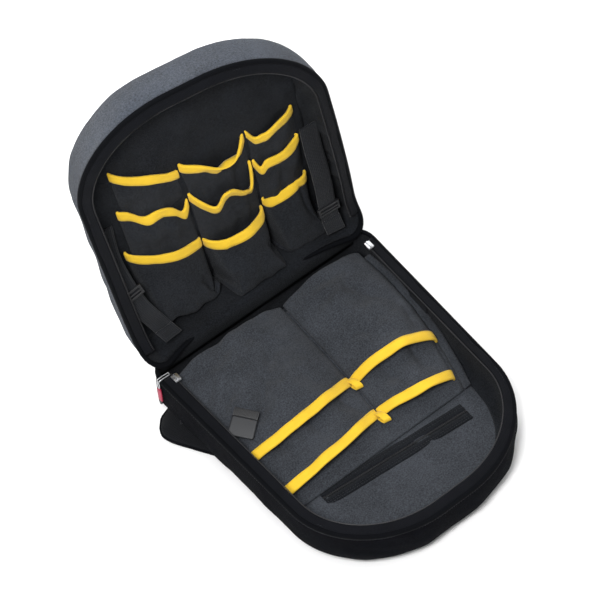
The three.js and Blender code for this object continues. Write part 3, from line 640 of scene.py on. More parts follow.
def add_panels():
    """The outer faces: the lid's front with a soft crown, and the bag's back, which lies down."""
    grid = panel_grid(LID_OUTER[-1][1] - PANEL_OVERLAP, LID_OUTER[-1][2] - PANEL_OVERLAP)
    across, along = grid[..., 0], grid[..., 1]
    inside = panel_middle(across, along)
    crown = 5.5 * np.sqrt(inside) + ripple(grid, 95, 8) * 0.9 * inside
    points = lid_at(across, along, LID_DEPTH + crown - 0.4)
    finish_piece(sheet("lid_front", points, OUTER_THICK, LID_CLOTH), "shell_fabric")
    grid = panel_grid(TRAY_OUTER[-1][1] - PANEL_OVERLAP, TRAY_OUTER[-1][2] - PANEL_OVERLAP)
    points = tray_at(grid[..., 0], grid[..., 1], TRAY_FLOOR + 0.1)
    finish_piece(sheet("tray_back", points[:, ::-1], BACK_THICK, TRAY_CLOTH_PAINTED_SHADE), "shell_fabric")


def lid_lining_folds(share, flat, points):
    across, along = flat[..., 0], flat[..., 1]
    side = np.clip(np.abs(across) / (WIDTH / 2) * 1.4 - 0.4, 0, 1)
    upright = np.abs(ripple(np.stack([along + share * 14, share * 10], -1), 40, 11)) * 4.2
    slow = ripple(points, 46, 12) * 1.8 + 1.2
    fine = ripple(points, 19, 13) * 0.5
    return held(share) * np.maximum(upright * side + slow + fine, 0.1)


def tray_lining_folds(share, flat, points):
    slow = ripple(points, 46, 14) * 1.5 + ripple(points, 20, 15) * 0.4 + 0.8
    return held(share) * np.maximum(slow, 0.1)


def add_linings():
    depth = LID_DEPTH - WALL
    lid = wall("lid_lining", lid_at, depth, INNER, LINING_CLOTH, lid_lining_folds, inset=WALL, flip=True)
    finish_piece(lid, "pocket_fabric")
    depth = TRAY_DEPTH - WALL
    tray = wall("tray_lining", tray_down, depth, INNER, LINING_CLOTH, tray_lining_folds, inset=WALL)
    finish_piece(tray, "pocket_fabric")
    grid = panel_grid(INNER[-1][1] + WALL - LINING_OVERLAP, INNER[-1][2] + WALL - LINING_OVERLAP)
    across, along = grid[..., 0], grid[..., 1]
    inside = np.sqrt(panel_middle(across, along))
    swell = ripple(grid, 85, 16) * 2.4 + ripple(grid, 30, 17) * 0.9 + 1.6
    back = LID_DEPTH - WALL + 0.3 - np.maximum(swell, 0) * inside
    points = lid_at(across, along, back)[:, ::-1]
    finish_piece(sheet("lid_inside", points, LINING_THICK, LINING_CLOTH), "pocket_fabric")
    rise = (ripple(grid, 60, 18) * 0.7 + ripple(grid, 25, 19) * 0.25) * inside
    points = tray_at(across, along, TRAY_FLOOR + WALL - 0.3 + np.clip(rise, -0.8, 1.2))
    finish_piece(sheet("tray_floor", points, LINING_THICK, PANEL_CLOTH_PAINTED_SHEEN), "pocket_fabric")


# Zips and rims

# Sections of the tape and of the rolled edge: inset from the outline and rise over the rim
ZIP_TAPE = ((2.4, -0.3), (4.5, 0.7), (7, 1.4), (9.5, 2.2), (12, 3.0), (14.4, 3.5))
EDGE_ROLL = (
    (-0.3, -3.6), (-0.9, -3.2), (-1, -1.8), (-0.7, -0.5), (0.4, 0.4),
    (1.5, 0.6), (2.6, 0.3), (3.3, -0.9), (3, -2.4),
)
TAPE_SHEET = 0.8
TOOTH_PITCH = 1.55
COIL_INSET = 15.6
COIL_RISE = 2.6


def strip_points(place, section, count=None):
    """Rows of points along the outline for a section of (inset, rise) pairs."""
    rows = []
    for inset, rise in section:
        loop = outline(inset)[:count]
        rows.append(place(loop[:, 0], loop[:, 1], -rise))
    return np.stack(rows)


def add_rim(side, place, flip):
    """The rolled edge of a shell, its zip tape, the coil along it and the rows of stitches."""
    turn = slice(None, None, -1 if flip else 1)
    roll = strip_points(place, EDGE_ROLL)[:, turn]
    edge = sheet(side + "_rim_edge", roll, LINING_THICK, EDGE_CLOTH, wrap=True)
    finish_piece(edge, "shell_fabric")
    tape = strip_points(place, ZIP_TAPE, ZIP_COUNT)[:, turn]
    tape = tape + grid_normals(tape) * (ripple(tape, 34, 21) * 0.35)[..., None]
    finish_piece(sheet(side + "_zip_tape", tape, TAPE_SHEET, ZIP_CLOTH), "zip_tape", side + "_zip_tape")
    coil = strip_points(place, ((COIL_INSET, COIL_RISE),), ZIP_COUNT)[0]
    normals = grid_normals(tape)[:, turn]
    points, along, share = resample(coil, TOOTH_PITCH)
    reach = reach_of(coil)
    out = columns_at(share, reach / reach[-1], normals[-1])
    inwards = unit(np.cross(along, out)) + 0.35 * along
    shape, faces = spindle(3.4, 0.72)
    teeth = stamp(side + "_zip_teeth", shape, faces, points, inwards, out, COIL)
    finish_piece(teeth, "zip_teeth", side + "_zip_teeth")
    cord = tube(side + "_zip_cord", coil, 0.55, COIL, sides=6)
    finish_piece(cord, "zip_teeth")
    low = strip_points(place, ((-1.3, -5.2), (0.5, -5.2)), ZIP_COUNT)
    inner = strip_points(place, ((5.2, 1.0),), ZIP_COUNT)[0]
    paths = [(low[0], unit(low[0] - low[1])), (inner, normals[1])]
    stitches(side + "_rim_stitches", paths, THREAD, "shell_fabric")


# Pockets

LID_COLUMNS = (0, -0.078, 0.188, 0.39)
LID_FULLNESS = (0.75, 1.15, 0.8)
LID_RISE = (0.1, 0.01, 0, 0.005)
LID_BACK = LID_DEPTH - WALL - 2 * GAP
LID_POCKET_COLUMNS = 52
LID_POCKET_ROWS = 46
TRAY_POCKET_STEPS = 90
POCKET_THICK = 1.3
SEAM_HALF = 1.9
SEAM_LIFT = 0.2
TAPE_STITCH = {"pitch": 2.7, "length": 1.9, "radius": 0.24}
SEAM_STITCH = {"pitch": 3.2, "length": 2.3, "radius": 0.28}
TIER_STEP = 2.2
HUMP = 0.62
TAPE_WIDTH = 11.5
TAPE_THICK = 1.1

# Each tier: left edge, dip of its mouths, and rows of (up, bulge) as shares of the length and the depth
LID_TIERS = (
    (-0.325, 0.02, ((0.3, 0.02), (0.4, 0.12), (0.49, 0.18), (0.56, 0.23))),
    (-0.345, 0.025, ((0.14, 0.02), (0.24, 0.2), (0.33, 0.29), (0.41, 0.35))),
    (
        -0.372, 0.015,
        ((0.03, 0.03), (0.024, 0.3), (0.021, 0.55), (0.026, 0.74), (0.1, 0.72), (0.222, 0.5)),
    ),
)

# How each mouth departs from an even curve: share of the way across, up and out in millimetres
LID_MOUTHS = {
    (1, 1): ((0, 6, 0), (0.3, 4, -4), (0.6, 4, -4), (0.86, -4, -2), (1, -8, 0)),
    (1, 2): ((0, 0, 0), (0.25, -2, 0), (0.52, -15, 2), (0.82, -17, 2), (1, -3, 0)),
    (1, 3): ((0, 0, 0), (0.09, -12, 0), (0.28, -9, 0), (0.58, -1, 0), (1, -4, 0)),
    (2, 1): (
        (0, 6, 0), (0.12, 10, -3), (0.33, 3, -7), (0.52, 10, -7),
        (0.75, 4, -6), (0.9, -11, -3), (1, 1, 0),
    ),
    (2, 2): (
        (0, 7, 0), (0.11, -2, 0), (0.27, -10, 0), (0.42, 8, 0),
        (0.56, 8, 0), (0.76, -14, 0), (0.93, -18, 0), (1, 5, 0),
    ),
    (2, 3): ((0, 3, 0), (0.06, -6, 0), (0.23, 2, -6), (0.62, 3, -7), (0.96, -1, -3), (1, 0, 0)),
    (3, 1): ((0, 18, 0), (0.1, 14, -6), (0.27, 13, -9), (0.6, 11, -8), (0.95, 4, -3), (1, 3, 0)),
    (3, 2): ((0, -3, 0), (0.2, -3, -7), (0.4, 0, -10), (0.68, 0, -9), (0.97, -8, -2), (1, -8, 0)),
    (3, 3): ((0, 3, 0), (0.05, 0, -5), (0.24, 1, -14), (0.6, 6, -15), (1, 1, 0)),
}

# Folds: start and end as (share of the way across, share of the height), width and depth in millimetres
LID_FOLDS = {
    (1, 1): (((0.3, 0.2), (0.42, 0.9), 7, 1.2), ((0.72, 0.1), (0.66, 0.8), 8, 1.4)),
    (1, 2): (((0.35, 0.2), (0.3, 0.95), 8, 1.6), ((0.75, 0.1), (0.8, 0.9), 7, 1.8)),
    (1, 3): (((0.5, 0.1), (0.42, 0.9), 7, 1.2),),
    (2, 1): (((0.55, 0.2), (0.6, 1.0), 8, 2.2), ((0.2, 0.3), (0.3, 0.8), 8, 1.2)),
    (2, 2): (((0.62, 0.25), (0.5, 1.0), 9, 2.2), ((0.85, 0.2), (0.8, 0.9), 6, 1.6)),
    (2, 3): (((0.45, 0.2), (0.5, 0.9), 7, 1.4),),
    (3, 1): (
        ((0.78, 0.5), (0.98, 0.02), 5, 5.0),
        ((0.25, 0.95), (0.7, 0.35), 13, 2.6),
        ((0.2, 0.55), (0.55, 0.15), 10, 1.6),
    ),
    (3, 2): (
        ((0.84, 0.62), (1.0, 0.05), 5, 5.0),
        ((0.25, 0.9), (0.6, 0.3), 14, 3.0),
        ((0.16, 0.45), (0.03, 0.05), 5, 3.0),
        ((0.5, 0.75), (0.85, 0.3), 10, 1.5),
    ),
    (3, 3): (((0.75, 0.95), (0.9, 0.2), 6, 3.5), ((0.3, 0.8), (0.45, 0.2), 9, 1.8)),
}


def arch(share, power=1):
    """0 at both ends of a pocket's width and 1 in the middle."""
    return np.sin(math.pi * share).clip(0) ** power


def pocket_grid(last, columns, rows):
    """Shares across a pocket, its rows up to last, and how near each row is to the mouth."""
    share = 0.5 - 0.5 * np.cos(np.linspace(0, math.pi, columns + 1))[None, :]
    row = np.linspace(0, last, rows + 1)[:, None]
    return share, row, np.clip(row - (last - 1), 0, None)


def trapezoid(share, flank):
    """A flat-topped hump whose flanks take a share of the width."""
    return np.sin(math.pi / 2 * np.clip(np.minimum(share, 1 - share) / flank, 0, 1)) ** 0.8


def lid_pocket_points(tier, column):
    """The outer face of a lid pocket, from its closed end to its mouth."""
    edge, dip, rows = LID_TIERS[tier - 1]
    ups, bulges = np.array(rows).T
    last = len(rows) - 1
    left = (LID_COLUMNS[column - 1] if column > 1 else edge) * WIDTH + SEAM_HALF
    right = LID_COLUMNS[column] * WIDTH - SEAM_HALF
    share, row, near = pocket_grid(last, LID_POCKET_COLUMNS, LID_POCKET_ROWS)
    mouth = np.array(LID_MOUTHS[tier, column], float)
    lift = smooth_table(mouth[:, 0], mouth[:, 1], share)
    push = smooth_table(mouth[:, 0], mouth[:, 2], share)
    hump = arch(share, HUMP)
    if tier == 3:
        boxy = between(row / last, 1, 0.62)
        hump = lerp(hump, trapezoid(share, 0.16 - 0.06 * boxy), boxy)
    rise = lerp(LID_RISE[column - 1], LID_RISE[column], share)
    steps = np.arange(last + 1)
    up = (smooth_table(steps, ups, row) + rise * row / last) * LENGTH
    up = up - dip * LENGTH * near * np.sin(math.pi * share) + lift * near
    bulge = smooth_table(steps, bulges, row) * LID_FULLNESS[column - 1] * LID_DEPTH * hump
    back = LID_BACK - (tier - 1) * TIER_STEP - CLOTH - bulge - push * near
    across = lerp(left, right, share) + 0 * row
    points = lid_at(across, up, back)
    height = up.mean(1, keepdims=True) - up.min()
    tall = height.max()
    flat = np.stack(np.broadcast_arrays(across, height * np.ones_like(share)), -1)
    held_edges = arch(share, 0.5)
    seed = 10 * tier + column
    drape = ripple(flat * (1, 0.45), 34, seed + 3) * 1.9
    calm = held_edges * (1 - 0.75 * between(row / last, 0.7, 0.95))
    field = (ripple(flat, 60, seed) * 1.3 + drape + ripple(flat, 20, seed + 5) * 0.45) * calm
    for start, end, width, depth in LID_FOLDS[tier, column]:
        ends = [(lerp(left, right, s), v * tall) for s, v in (start, end)]
        field = field + crease(flat[..., 0], flat[..., 1], *ends, width, depth)
    return points + grid_normals(points) * field[..., None]


def below(points, values, distance):
    """Values of a pocket's grid at a distance down from its mouth, which is the last row."""
    found = []
    for c in range(points.shape[1]):
        reach = reach_of(points[::-1, c])
        found.append(columns_at([distance], reach, values[::-1, c])[0])
    return np.array(found)


def add_binding(name, points):
    """Tape folded over a pocket's mouth, down both faces. Returns its row of stitches."""
    normals = grid_normals(points)
    proud = TAPE_THICK + 0.1
    downs = (TAPE_WIDTH, TAPE_WIDTH * 0.97, 7.5, 5, 2.5, 0.6)
    up = unit(points[-1] - below(points, points, 3))
    out = below(points, normals, 1)
    middle = points[-1] - out * CLOTH / 2
    reach = CLOTH / 2 + proud
    lifts = (0.35, 1, 1.08, 1.05, 1, 1)
    rows = []
    for down, lift in zip(downs, lifts):
        rows.append(below(points, points, down) + below(points, normals, down) * proud * lift)
    for degrees in (35, 65, 90, 115, 145):
        turn = math.radians(degrees)
        rows.append(middle + out * reach * math.cos(turn) + up * reach * math.sin(turn))
    for down in downs[::-1]:
        rows.append(below(points, points, down) - below(points, normals, down) * (CLOTH + proud))
    finish_piece(sheet(name, np.stack(rows), TAPE_THICK, YELLOW_TAPE), "binding_tape", name)
    out = below(points, normals, TAPE_WIDTH - 2)
    return below(points, points, TAPE_WIDTH - 2) + out * (proud + 0.1), out


def finish_pocket(name, points, material, threads, seams):
    """Adds a pocket with its bound mouth, and notes where its stitches run."""
    finish_piece(sheet(name, points, POCKET_THICK, material), "pocket_fabric", name)
    threads.append(add_binding(name.replace("pocket", "binding"), points))
    normals = grid_normals(points)
    for c in (0, -1):
        seams.append((points[:, c] + normals[:, c] * SEAM_LIFT, normals[:, c]))
    return normals


def sew_pockets(side, threads, seams):
    stitches(side + "_binding_stitches", threads, YELLOW_THREAD, "binding_tape", **TAPE_STITCH)
    stitches(side + "_pocket_stitches", seams, THREAD, "pocket_fabric", **SEAM_STITCH)


def add_lid_pockets():
    threads, seams = [], []
    for tier, column in LID_MOUTHS:
        name = "lid_pocket_%d_%d" % (tier, column)
        finish_pocket(name, lid_pocket_points(tier, column), POCKET_CLOTH, threads, seams)
    sew_pockets("lid", threads, seams)


# The tray's board and pockets

BOARD_ROWS = np.array(
    (
        (0.09, 0.56, 0.437),
        (0.2, 0.52, 0.446),
        (0.33, 0.45, 0.443),
        (0.46, 0.32, 0.427),
        (0.58, 0.16, 0.402),
        (0.65, 0.07, 0.378),
    )
)
BOARD_EDGE_WIDTH = 11
BOARD_EDGE_THICK = 6
SLOPE_GAP = 0.6

# Each tier: name, left edge, seam, margin at the right, lift, rows (along, bulge) and its mouths' pulls
TRAY_TIERS = (
    (
        "lower", -0.43, 0.062, 6, 0,
        ((0.32, 0.02), (0.42, 0.18), (0.51, 0.28), (0.575, 0.36)),
        ((0.03, 0.028, -0.012), (-0.008, 0.024, 0.03)),
    ),
    (
        "upper", -0.445, 0.06, 2, CLOTH + GAP,
        ((0.072, 0.34), (0.19, 0.42), (0.33, 0.48), (0.44, 0.52)),
        ((0.02, 0.034, -0.008), (0, 0.02, 0.035)),
    ),
)

# Folds of the tray's pockets: start and end as (across, along), width and depth, in millimetres
TRAY_FOLDS = {
    ("upper", "left"): (
        ((-22, 68), (-72, 110), 15, 5.5),
        ((-62, 100), (-112, 152), 11, 5),
        ((-94, 76), (-137, 112), 8, 3.5),
        ((-112, 62), (-150, 90), 7, 3),
        ((-118, 108), (-140, 140), 6, 2),
        ((-30, 120), (-10, 168), 12, 2.5),
    ),
    ("upper", "right"): (
        ((92, 62), (138, 124), 12, 4),
        ((138, 110), (132, 172), 9, 3),
        ((40, 90), (80, 150), 14, 2.5),
    ),
    ("lower", "left"): (
        ((-120, 140), (-96, 208), 9, 3.5),
        ((-60, 150), (-52, 214), 12, 3),
        ((-10, 150), (6, 212), 10, 3),
    ),
    ("lower", "right"): (
        ((60, 160), (70, 220), 10, 3),
        ((112, 150), (104, 214), 9, 3),
    ),
}


def board_top(along):
    return FLOOR_INSIDE + np.interp(along, BOARD_ROWS[:, 0], BOARD_ROWS[:, 1]) * TRAY_DEPTH


def board_right(along):
    return np.interp(along, BOARD_ROWS[:, 0], BOARD_ROWS[:, 2]) * WIDTH


def room_at(along, depth):
    """Half the room between the side walls, at shares of the length and of the depth below the rim."""
    table = np.array(INNER, float)
    inset = np.interp(depth, table[:, 0], table[:, 1])
    return (WIDTH / 2 - WALL - inset) * (1 - NARROWING * along)


def bow(values, share):
    left, middle, right = values
    return left + (right - left) * share + (middle - (left + right) / 2) * 4 * share * (1 - share)


def tray_pocket_points(tier, side):
    """The upper face of a tray pocket, from its closed end to its mouth, with its right edge first."""
    name, edge, seam, margin, lift, rows, pulls = tier
    alongs, bulges = np.array(rows).T
    last = len(rows) - 1
    share, row, near = pocket_grid(last, TRAY_POCKET_STEPS, TRAY_POCKET_STEPS)
    steps = np.arange(last + 1)
    along = smooth_table(steps, alongs, row) + bow(pulls[side == "right"], share) * near
    if side == "right":
        left = seam * WIDTH + SEAM_HALF + 0 * along
        right = board_right(along) - margin
    else:
        left = edge * WIDTH + 0 * along
        right = seam * WIDTH - SEAM_HALF + 0 * along
    hump = arch(share, HUMP)
    across = lerp(left, right, share)
    bulge = smooth_table(steps, bulges, row) * TRAY_DEPTH * hump
    height = board_top(along) + SLOPE_GAP + lift + bulge + CLOTH
    flat = np.stack([across, along * LENGTH], -1)
    held_edges = arch(share, 0.6)
    field = ripple(flat, 64, 31 + len(name)) * 2.2 + ripple(flat, 28, 41 + len(side)) * 1.1
    field = field * held_edges
    for start, end, width, depth in TRAY_FOLDS[name, side]:
        field = field + crease(flat[..., 0], flat[..., 1], start, end, width, depth) * held_edges**0.5
    points = tray_at(across, along * LENGTH, height)[:, ::-1]
    return points + grid_normals(points) * field[:, ::-1, None]


def add_board():
    """The sloping board, its rolled free edge and the stitches along that."""
    along = np.linspace(BOARD_ROWS[0, 0], BOARD_ROWS[-1, 0], 60)
    top = board_top(along)
    right = board_right(along)
    left = 2 * GAP - room_at(along, (RIM - top + WALL) / (TRAY_DEPTH - WALL))
    across = lerp(left[:, None], right[:, None], np.linspace(0, 1, 40))
    points = tray_at(across, along[:, None] * LENGTH, top[:, None] - 0.1)[:, ::-1]
    finish_piece(sheet("pocket_board", points, WALL, PANEL_CLOTH_PAINTED_SHEEN), "pocket_fabric", "pocket_board")
    middle = right + GAP + BOARD_EDGE_WIDTH / 2
    height = np.maximum(top - WALL / 2, FLOOR_INSIDE + BOARD_EDGE_THICK / 2 + WALL)
    turn = full_turn(20)
    ring_x = squared(np.cos(turn), 0.75) * BOARD_EDGE_WIDTH / 2
    ring_z = squared(np.sin(turn), 0.75) * BOARD_EDGE_THICK / 2
    rings = tray_at(middle[:, None] + ring_x, along[:, None] * LENGTH, height[:, None] + ring_z)
    finish_piece(rolled("board_edge", rings[:, ::-1], PANEL_CLOTH_PAINTED_SHEEN), "pocket_fabric", "board_edge")
    lines = []
    for offset in (-3.4, -1.6, 3.2):
        path = tray_at(middle + offset, along * LENGTH, height + BOARD_EDGE_THICK / 2)
        lines.append((path, UPWARDS))
    stitches("board_edge_stitches", lines, THREAD, "pocket_fabric")


def add_tray_pockets():
    threads, seams = [], []
    closed_row = 4
    for tier in TRAY_TIERS:
        for side in ("left", "right"):
            name = "tray_pocket_%s_%s" % (tier[0], side)
            points = tray_pocket_points(tier, side)
            normals = finish_pocket(name, points, PANEL_CLOTH_PAINTED_SHEEN, threads, seams)
            seams.append((points[closed_row] + normals[closed_row] * SEAM_LIFT, normals[closed_row]))
    sew_pockets("tray", threads, seams)


def add_tape_folds():
    """The spare tape at the middle seam of each tier, folded over on itself."""
    for name, along, height in (("lower", 0.563, 8), ("upper", 0.426, 9)):
        x = 0.061 * WIDTH
        low = board_top(along) + height
        start = along * LENGTH
        stations = (
            (x - 2, start - 6, low - 3),
            (x - 1, start + 1, low + 2.5),
            (x, start + 8, low + 4),
            (x + 1, start + 13, low + 2),
            (x + 1, start + 14, low - 1.5),
            (x, start + 10, low - 3),
            (x - 1, start + 3, low - 4),
        )
        route = smooth_path(stations, 40)
        path = tray_at(*route.T)
        sides = np.broadcast_to([1.0, -0.25, 0.1], path.shape)
        fold = ribbon("tape_fold_" + name, path, sides, TAPE_WIDTH * 0.85, TAPE_THICK, YELLOW_TAPE)
        finish_piece(fold, "binding_tape")


FLOOR_ZIP = {"left": -0.3, "right": 0.33, "along": 0.665, "skew": 0.045}

# Section of its tape: shift from the middle and rise over the floor
FLOOR_TAPE = (
    (-13, 0.5), (-11.5, 1.3), (-6, 1.5), (-3.2, 1.9), (-2.6, 1.1),
    (2.6, 1.1), (3.2, 1.9), (6, 1.5), (11.5, 1.3), (13, 0.5),
)


def add_floor_zip():
    share = np.linspace(0, 1, 80)
    across = lerp(FLOOR_ZIP["left"], FLOOR_ZIP["right"], share) * WIDTH
    along = (FLOOR_ZIP["along"] + FLOOR_ZIP["skew"] * share) * LENGTH

    def row(shift, rise):
        return tray_at(across, along + shift, FLOOR_INSIDE + rise)

    points = np.stack([row(shift, rise) for shift, rise in FLOOR_TAPE])[::-1]
    points = points + UPWARDS * (ripple(points, 50, 51) * 0.35 + 0.1)[..., None]
    tape = sheet("floor_zip_tape", points, LINING_THICK, LINING_CLOTH)
    finish_piece(tape, "zip_tape", "floor_zip_tape")
    places, direction = resample(row(0, 2.2), TOOTH_PITCH)[:2]
    out = np.broadcast_to(UPWARDS, places.shape)
    inwards = np.cross(direction, out) + 0.3 * direction
    shape, faces = spindle(5, 0.75)
    teeth = stamp("floor_zip_teeth", shape, faces, places, inwards, out, COIL)
    finish_piece(teeth, "zip_teeth", "floor_zip_teeth")
    lines = [(row(shift, 1.9), UPWARDS) for shift in (-10.5, -7.5, 7.5, 10.5)]
    stitches("floor_zip_stitches", lines, THREAD, "zip_tape")


# The cloth over the hinge

def add_hinge():
    """The band outside, and the soft cover inside from the tray's wall up to the lid's lining."""
    half = WIDTH / 2 - HINGE_CORNER
    across = np.linspace(-half, half, 60)
    outer = [tray_at(across, GAP - 1.2, RIM - drop) for drop in (34, 26, 18, 11.2)]
    outer.append(tray_at(across, -4.2, RIM - 5.5))
    outer += [lid_at(across, -1.6, back) for back in (9, 14, 20, 27, 34)]
    points = np.stack(outer)
    points[1:-1] += np.array([0, 0.4, -0.4]) * (ripple(points[1:-1], 50, 61) + 1)[..., None]
    finish_piece(sheet("hinge_panel", points, -1.2, LID_CLOTH), "shell_fabric", "hinge_panel")
    half = WIDTH / 2 - 12
    across = np.linspace(-half, half, 70)
    inner = [tray_at(across, 2 * WALL + 1, RIM - drop) for drop in (26, 17, 9)]
    inner.append(tray_at(across, 5.5, RIM + 1))
    inner.append(tray_at(across, 2, RIM + 4.2))
    inner += [lid_at(across, 5, back) for back in (2, 10, 20, 31, 40)]
    points = np.stack(inner)
    points += np.array([0, -0.3, 0.6]) * (ripple(points, 40, 62) * 1.2)[..., None]
    finish_piece(sheet("hinge_cover", points[::-1], 1.0, LINING_CLOTH), "shell_fabric")


# Webbing and plastic parts

WEB_WIDTH = 25
WEB_THICK = 1.6
LOCK_LENGTH = 13
LOCK_THICK = 5
LOCK_SIDE = 3.5

# Each strap: name, side, sewn end (up, back), loose stations (across, up, back), station before its lock
LID_STRAPS = (
    (
        "left", -1, (0.5, 0.8),
        (
            (-0.43, 0.41, 0.55), (-0.43, 0.34, 0.32), (-0.418, 0.26, 0.16),
            (-0.385, 0.15, 0.05), (-0.36, 0.07, -0.02),
        ),
        2,
    ),
    (
        "right", 1, (0.46, 0.72),
        (
            (0.41, 0.34, 0.5), (0.405, 0.24, 0.32), (0.395, 0.15, 0.2),
            (0.39, 0.1, 0.14), (0.39, 0.04, 0.1),
        ),
        3,
    ),
)
FOLDED_POINTS = 9  # points of a strap's path under its folded end


def ribbon(name, path, sides, width, thick, material, columns=9):
    """A flat strip along a path, with the direction of its width at each point."""
    share = np.linspace(-0.5, 0.5, columns)[None, :, None]
    points = np.asarray(path, float)[:, None] + unit(sides)[:, None] * share * width
    return sheet(name, points + grid_normals(points) * (thick / 2), thick, material)


def smooth_path(stations, steps):
    """A smooth curve through stations, at an even share of the way."""
    stations = np.asarray(stations, float)
    reach = reach_of(stations)
    at = np.linspace(0, reach[-1], steps)
    return np.stack([smooth_table(reach, stations[:, k], at) for k in range(stations.shape[1])], 1)


def blocks(name, parts, place, material, bevel=0.6):
    """One piece made of rounded blocks, each (middle, size) in millimetres, moved by a matrix."""
    shape = bmesh.new()
    for middle, size in parts:
        grown = Matrix.Translation(middle) @ Matrix.Diagonal((*size, 1))
        made = bmesh.ops.create_cube(shape, size=1, matrix=grown)
        edges = list({edge for vert in made["verts"] for edge in vert.link_edges})
        offset = min(bevel, min(size) * 0.4)
        bmesh.ops.bevel(shape, geom=edges, offset=offset, segments=3, affect="EDGES", profile=0.6)
    bmesh.ops.transform(shape, matrix=Matrix.Scale(MM, 4) @ place, verts=shape.verts)
    mesh = bpy.data.meshes.new(name)
    shape.to_mesh(mesh)
    shape.free()
    mesh.materials.append(material)
    mesh.polygons.foreach_set("use_smooth", np.ones(len(mesh.polygons), bool))
    return add_object(name, mesh)


def axes_matrix(x, y, z, middle):
    x, y, z = (unit(v) for v in (x, y, z))
    return Matrix([[x[k], y[k], z[k], middle[k]] for k in range(3)] + [[0, 0, 0, 1]])


def ladder_parts(length):
    """Frame and cross bars of a ladder lock, x across the webbing and y along it."""
    half = WEB_WIDTH / 2 + LOCK_SIDE
    rise = WEB_THICK / 2 + GAP + LOCK_THICK / 4
    side = LOCK_SIDE - 0.3
    end = length / 2 - 1.4
    parts = []
    for s in (-1, 1):
        parts.append(((s * (half - side / 2), 0, rise - 0.6), (side, length, LOCK_THICK / 2 + 1.4)))
    for y, thick, lift in ((-end, 2.8, 0), (0, 2.0, 0.7), (end, 2.8, 0)):
        parts.append(((0, y, rise + lift), (2 * half - 1, thick, LOCK_THICK / 2)))
    for i in range(-3, 4):
        parts.append(((i * 3.6, -end, rise + LOCK_THICK / 4 + 0.1), (1.5, 2.2, 0.8)))
    return parts


def add_lid_straps():
    """Webbing along the lid's side walls, with a ladder lock on it and its end folded and sewn."""
    lines = []
    for name, side, (up, back), loose, lock in LID_STRAPS:
        room = room_at(up, back * LID_DEPTH / (LID_DEPTH - WALL)) - WEB_WIDTH / 2 - 2 * GAP
        stations = np.array([(side * room / WIDTH, up, back), *loose]) * (WIDTH, LENGTH, LID_DEPTH)
        across, up, back = smooth_path(stations, 70).T
        path = lid_at(across, up, back)
        sides = lid_at(across + 1, up, back) - lid_at(across - 1, up, back)
        normals = unit(np.cross(sides, np.gradient(path, axis=0)))
        path = path + normals * (ripple(path, 45, 71) * 0.7)[:, None]
        strap = ribbon("lid_strap_" + name, path, sides, WEB_WIDTH, WEB_THICK, WEB_CLOTH)
        finish_piece(strap, "webbing", "lid_strap_" + name)
        here, after = lid_at(*stations[lock : lock + 2].T)
        y = unit(here - after)
        near = np.argmin(np.linalg.norm(path - (here + after) / 2, axis=1))
        z = unit(np.cross(sides[near], y))
        place = axes_matrix(np.cross(y, z), y, z, path[near] + z * 0.2)
        ladder = blocks("lid_lock_" + name, ladder_parts(LOCK_LENGTH), place, BUCKLE)
        finish_piece(ladder, "buckle_plastic", "lid_lock_" + name)
        end = path[-FOLDED_POINTS:]
        out = unit(np.cross(sides, np.gradient(path, axis=0)))[-FOLDED_POINTS:]
        if out[0] @ z < 0:
            out = -out
        over = end + out * (WEB_THICK + 0.2)
        sides = sides[-FOLDED_POINTS:]
        fold = ribbon("lid_strap_end_" + name, over, sides, WEB_WIDTH + 0.6, WEB_THICK, WEB_CLOTH)
        finish_piece(fold, "webbing")
        reach = unit(sides[-1]) * (WEB_WIDTH / 2 - 2)
        for k in (2, 6):
            row = end[k] + out[k] * (WEB_THICK * 1.5 + 0.5)
            lines.append((np.stack([row - reach, row + reach]), out[4]))
    stitches("lid_strap_stitches", lines, THREAD, "webbing", pitch=2.6, length=2.0)


# Each lock: name, place (across, along, height) and its slope and turn in degrees
TRAY_LOCKS = (
    ("left", (-0.36, 0.352, 0.985), 14, 54),
    ("right", (0.462, 0.335, 0.77), 92, -90),
)
GRIP_RIBS = 19
TONGUE_LENGTH = 25
TONGUE_CORNER = 20  # where the tongue's corners start to round off


def add_tray_locks():
    """Webbing tongues: a ribbed grip with a smooth tapered plate hinged on its edge."""
    half = WEB_WIDTH / 2 + LOCK_SIDE
    for name, (across, along, height), slope, turn in TRAY_LOCKS:
        middle = tray_at(across * WIDTH, along * LENGTH, TRAY_FLOOR + height * TRAY_DEPTH)
        turned = Matrix.Rotation(math.radians(-turn), 4, "Z")
        tilted = Matrix.Rotation(math.radians(slope), 4, "X")
        place = Matrix.Translation(middle) @ turned @ tilted
        parts = [((0, 5.8, 0), (2 * half, 10.6, 3.8))]
        for x in np.linspace(1.5 - half, half - 1.5, GRIP_RIBS):
            parts.append(((x, 5.8, 0), (0.9, 10.9, 5.2)))
        for s in (-1, 1):
            parts.append(((s * (half - 1), 5.8, 0), (2, 11, 5.8)))
        grip = blocks("tray_lock_" + name, parts, place, BUCKLE, bevel=0.9)
        finish_piece(grip, "buckle_plastic", "tray_lock_" + name)
        down = np.linspace(0, TONGUE_LENGTH, 16)[:, None]
        share = np.linspace(-1, 1, 22)[None, :]
        x = share * half * (1 + 0.06 * down / TONGUE_LENGTH)
        corner = np.clip(1 - (1 - np.abs(share)) * half / 3, 0, 1)
        y = 2.5 * corner**3 * np.clip((down - TONGUE_CORNER) / 5, 0, 1) - down
        edge = np.clip(np.maximum(np.abs(share) - 0.9, 0) / 0.1, 0, 1)
        z = 2.4 - 0.5 * edge**2 + 0.5 * (1 - (2 * down / TONGUE_LENGTH - 1) ** 2)
        local = np.stack(np.broadcast_arrays(x, y, z), -1)
        matrix = np.array(place)
        points = local @ matrix[:3, :3].T + matrix[:3, 3]
        plate = sheet("tray_tongue_" + name, points[::-1], 2.2, TONGUE)
        finish_piece(plate, "tongue_plastic", "tray_tongue_" + name)


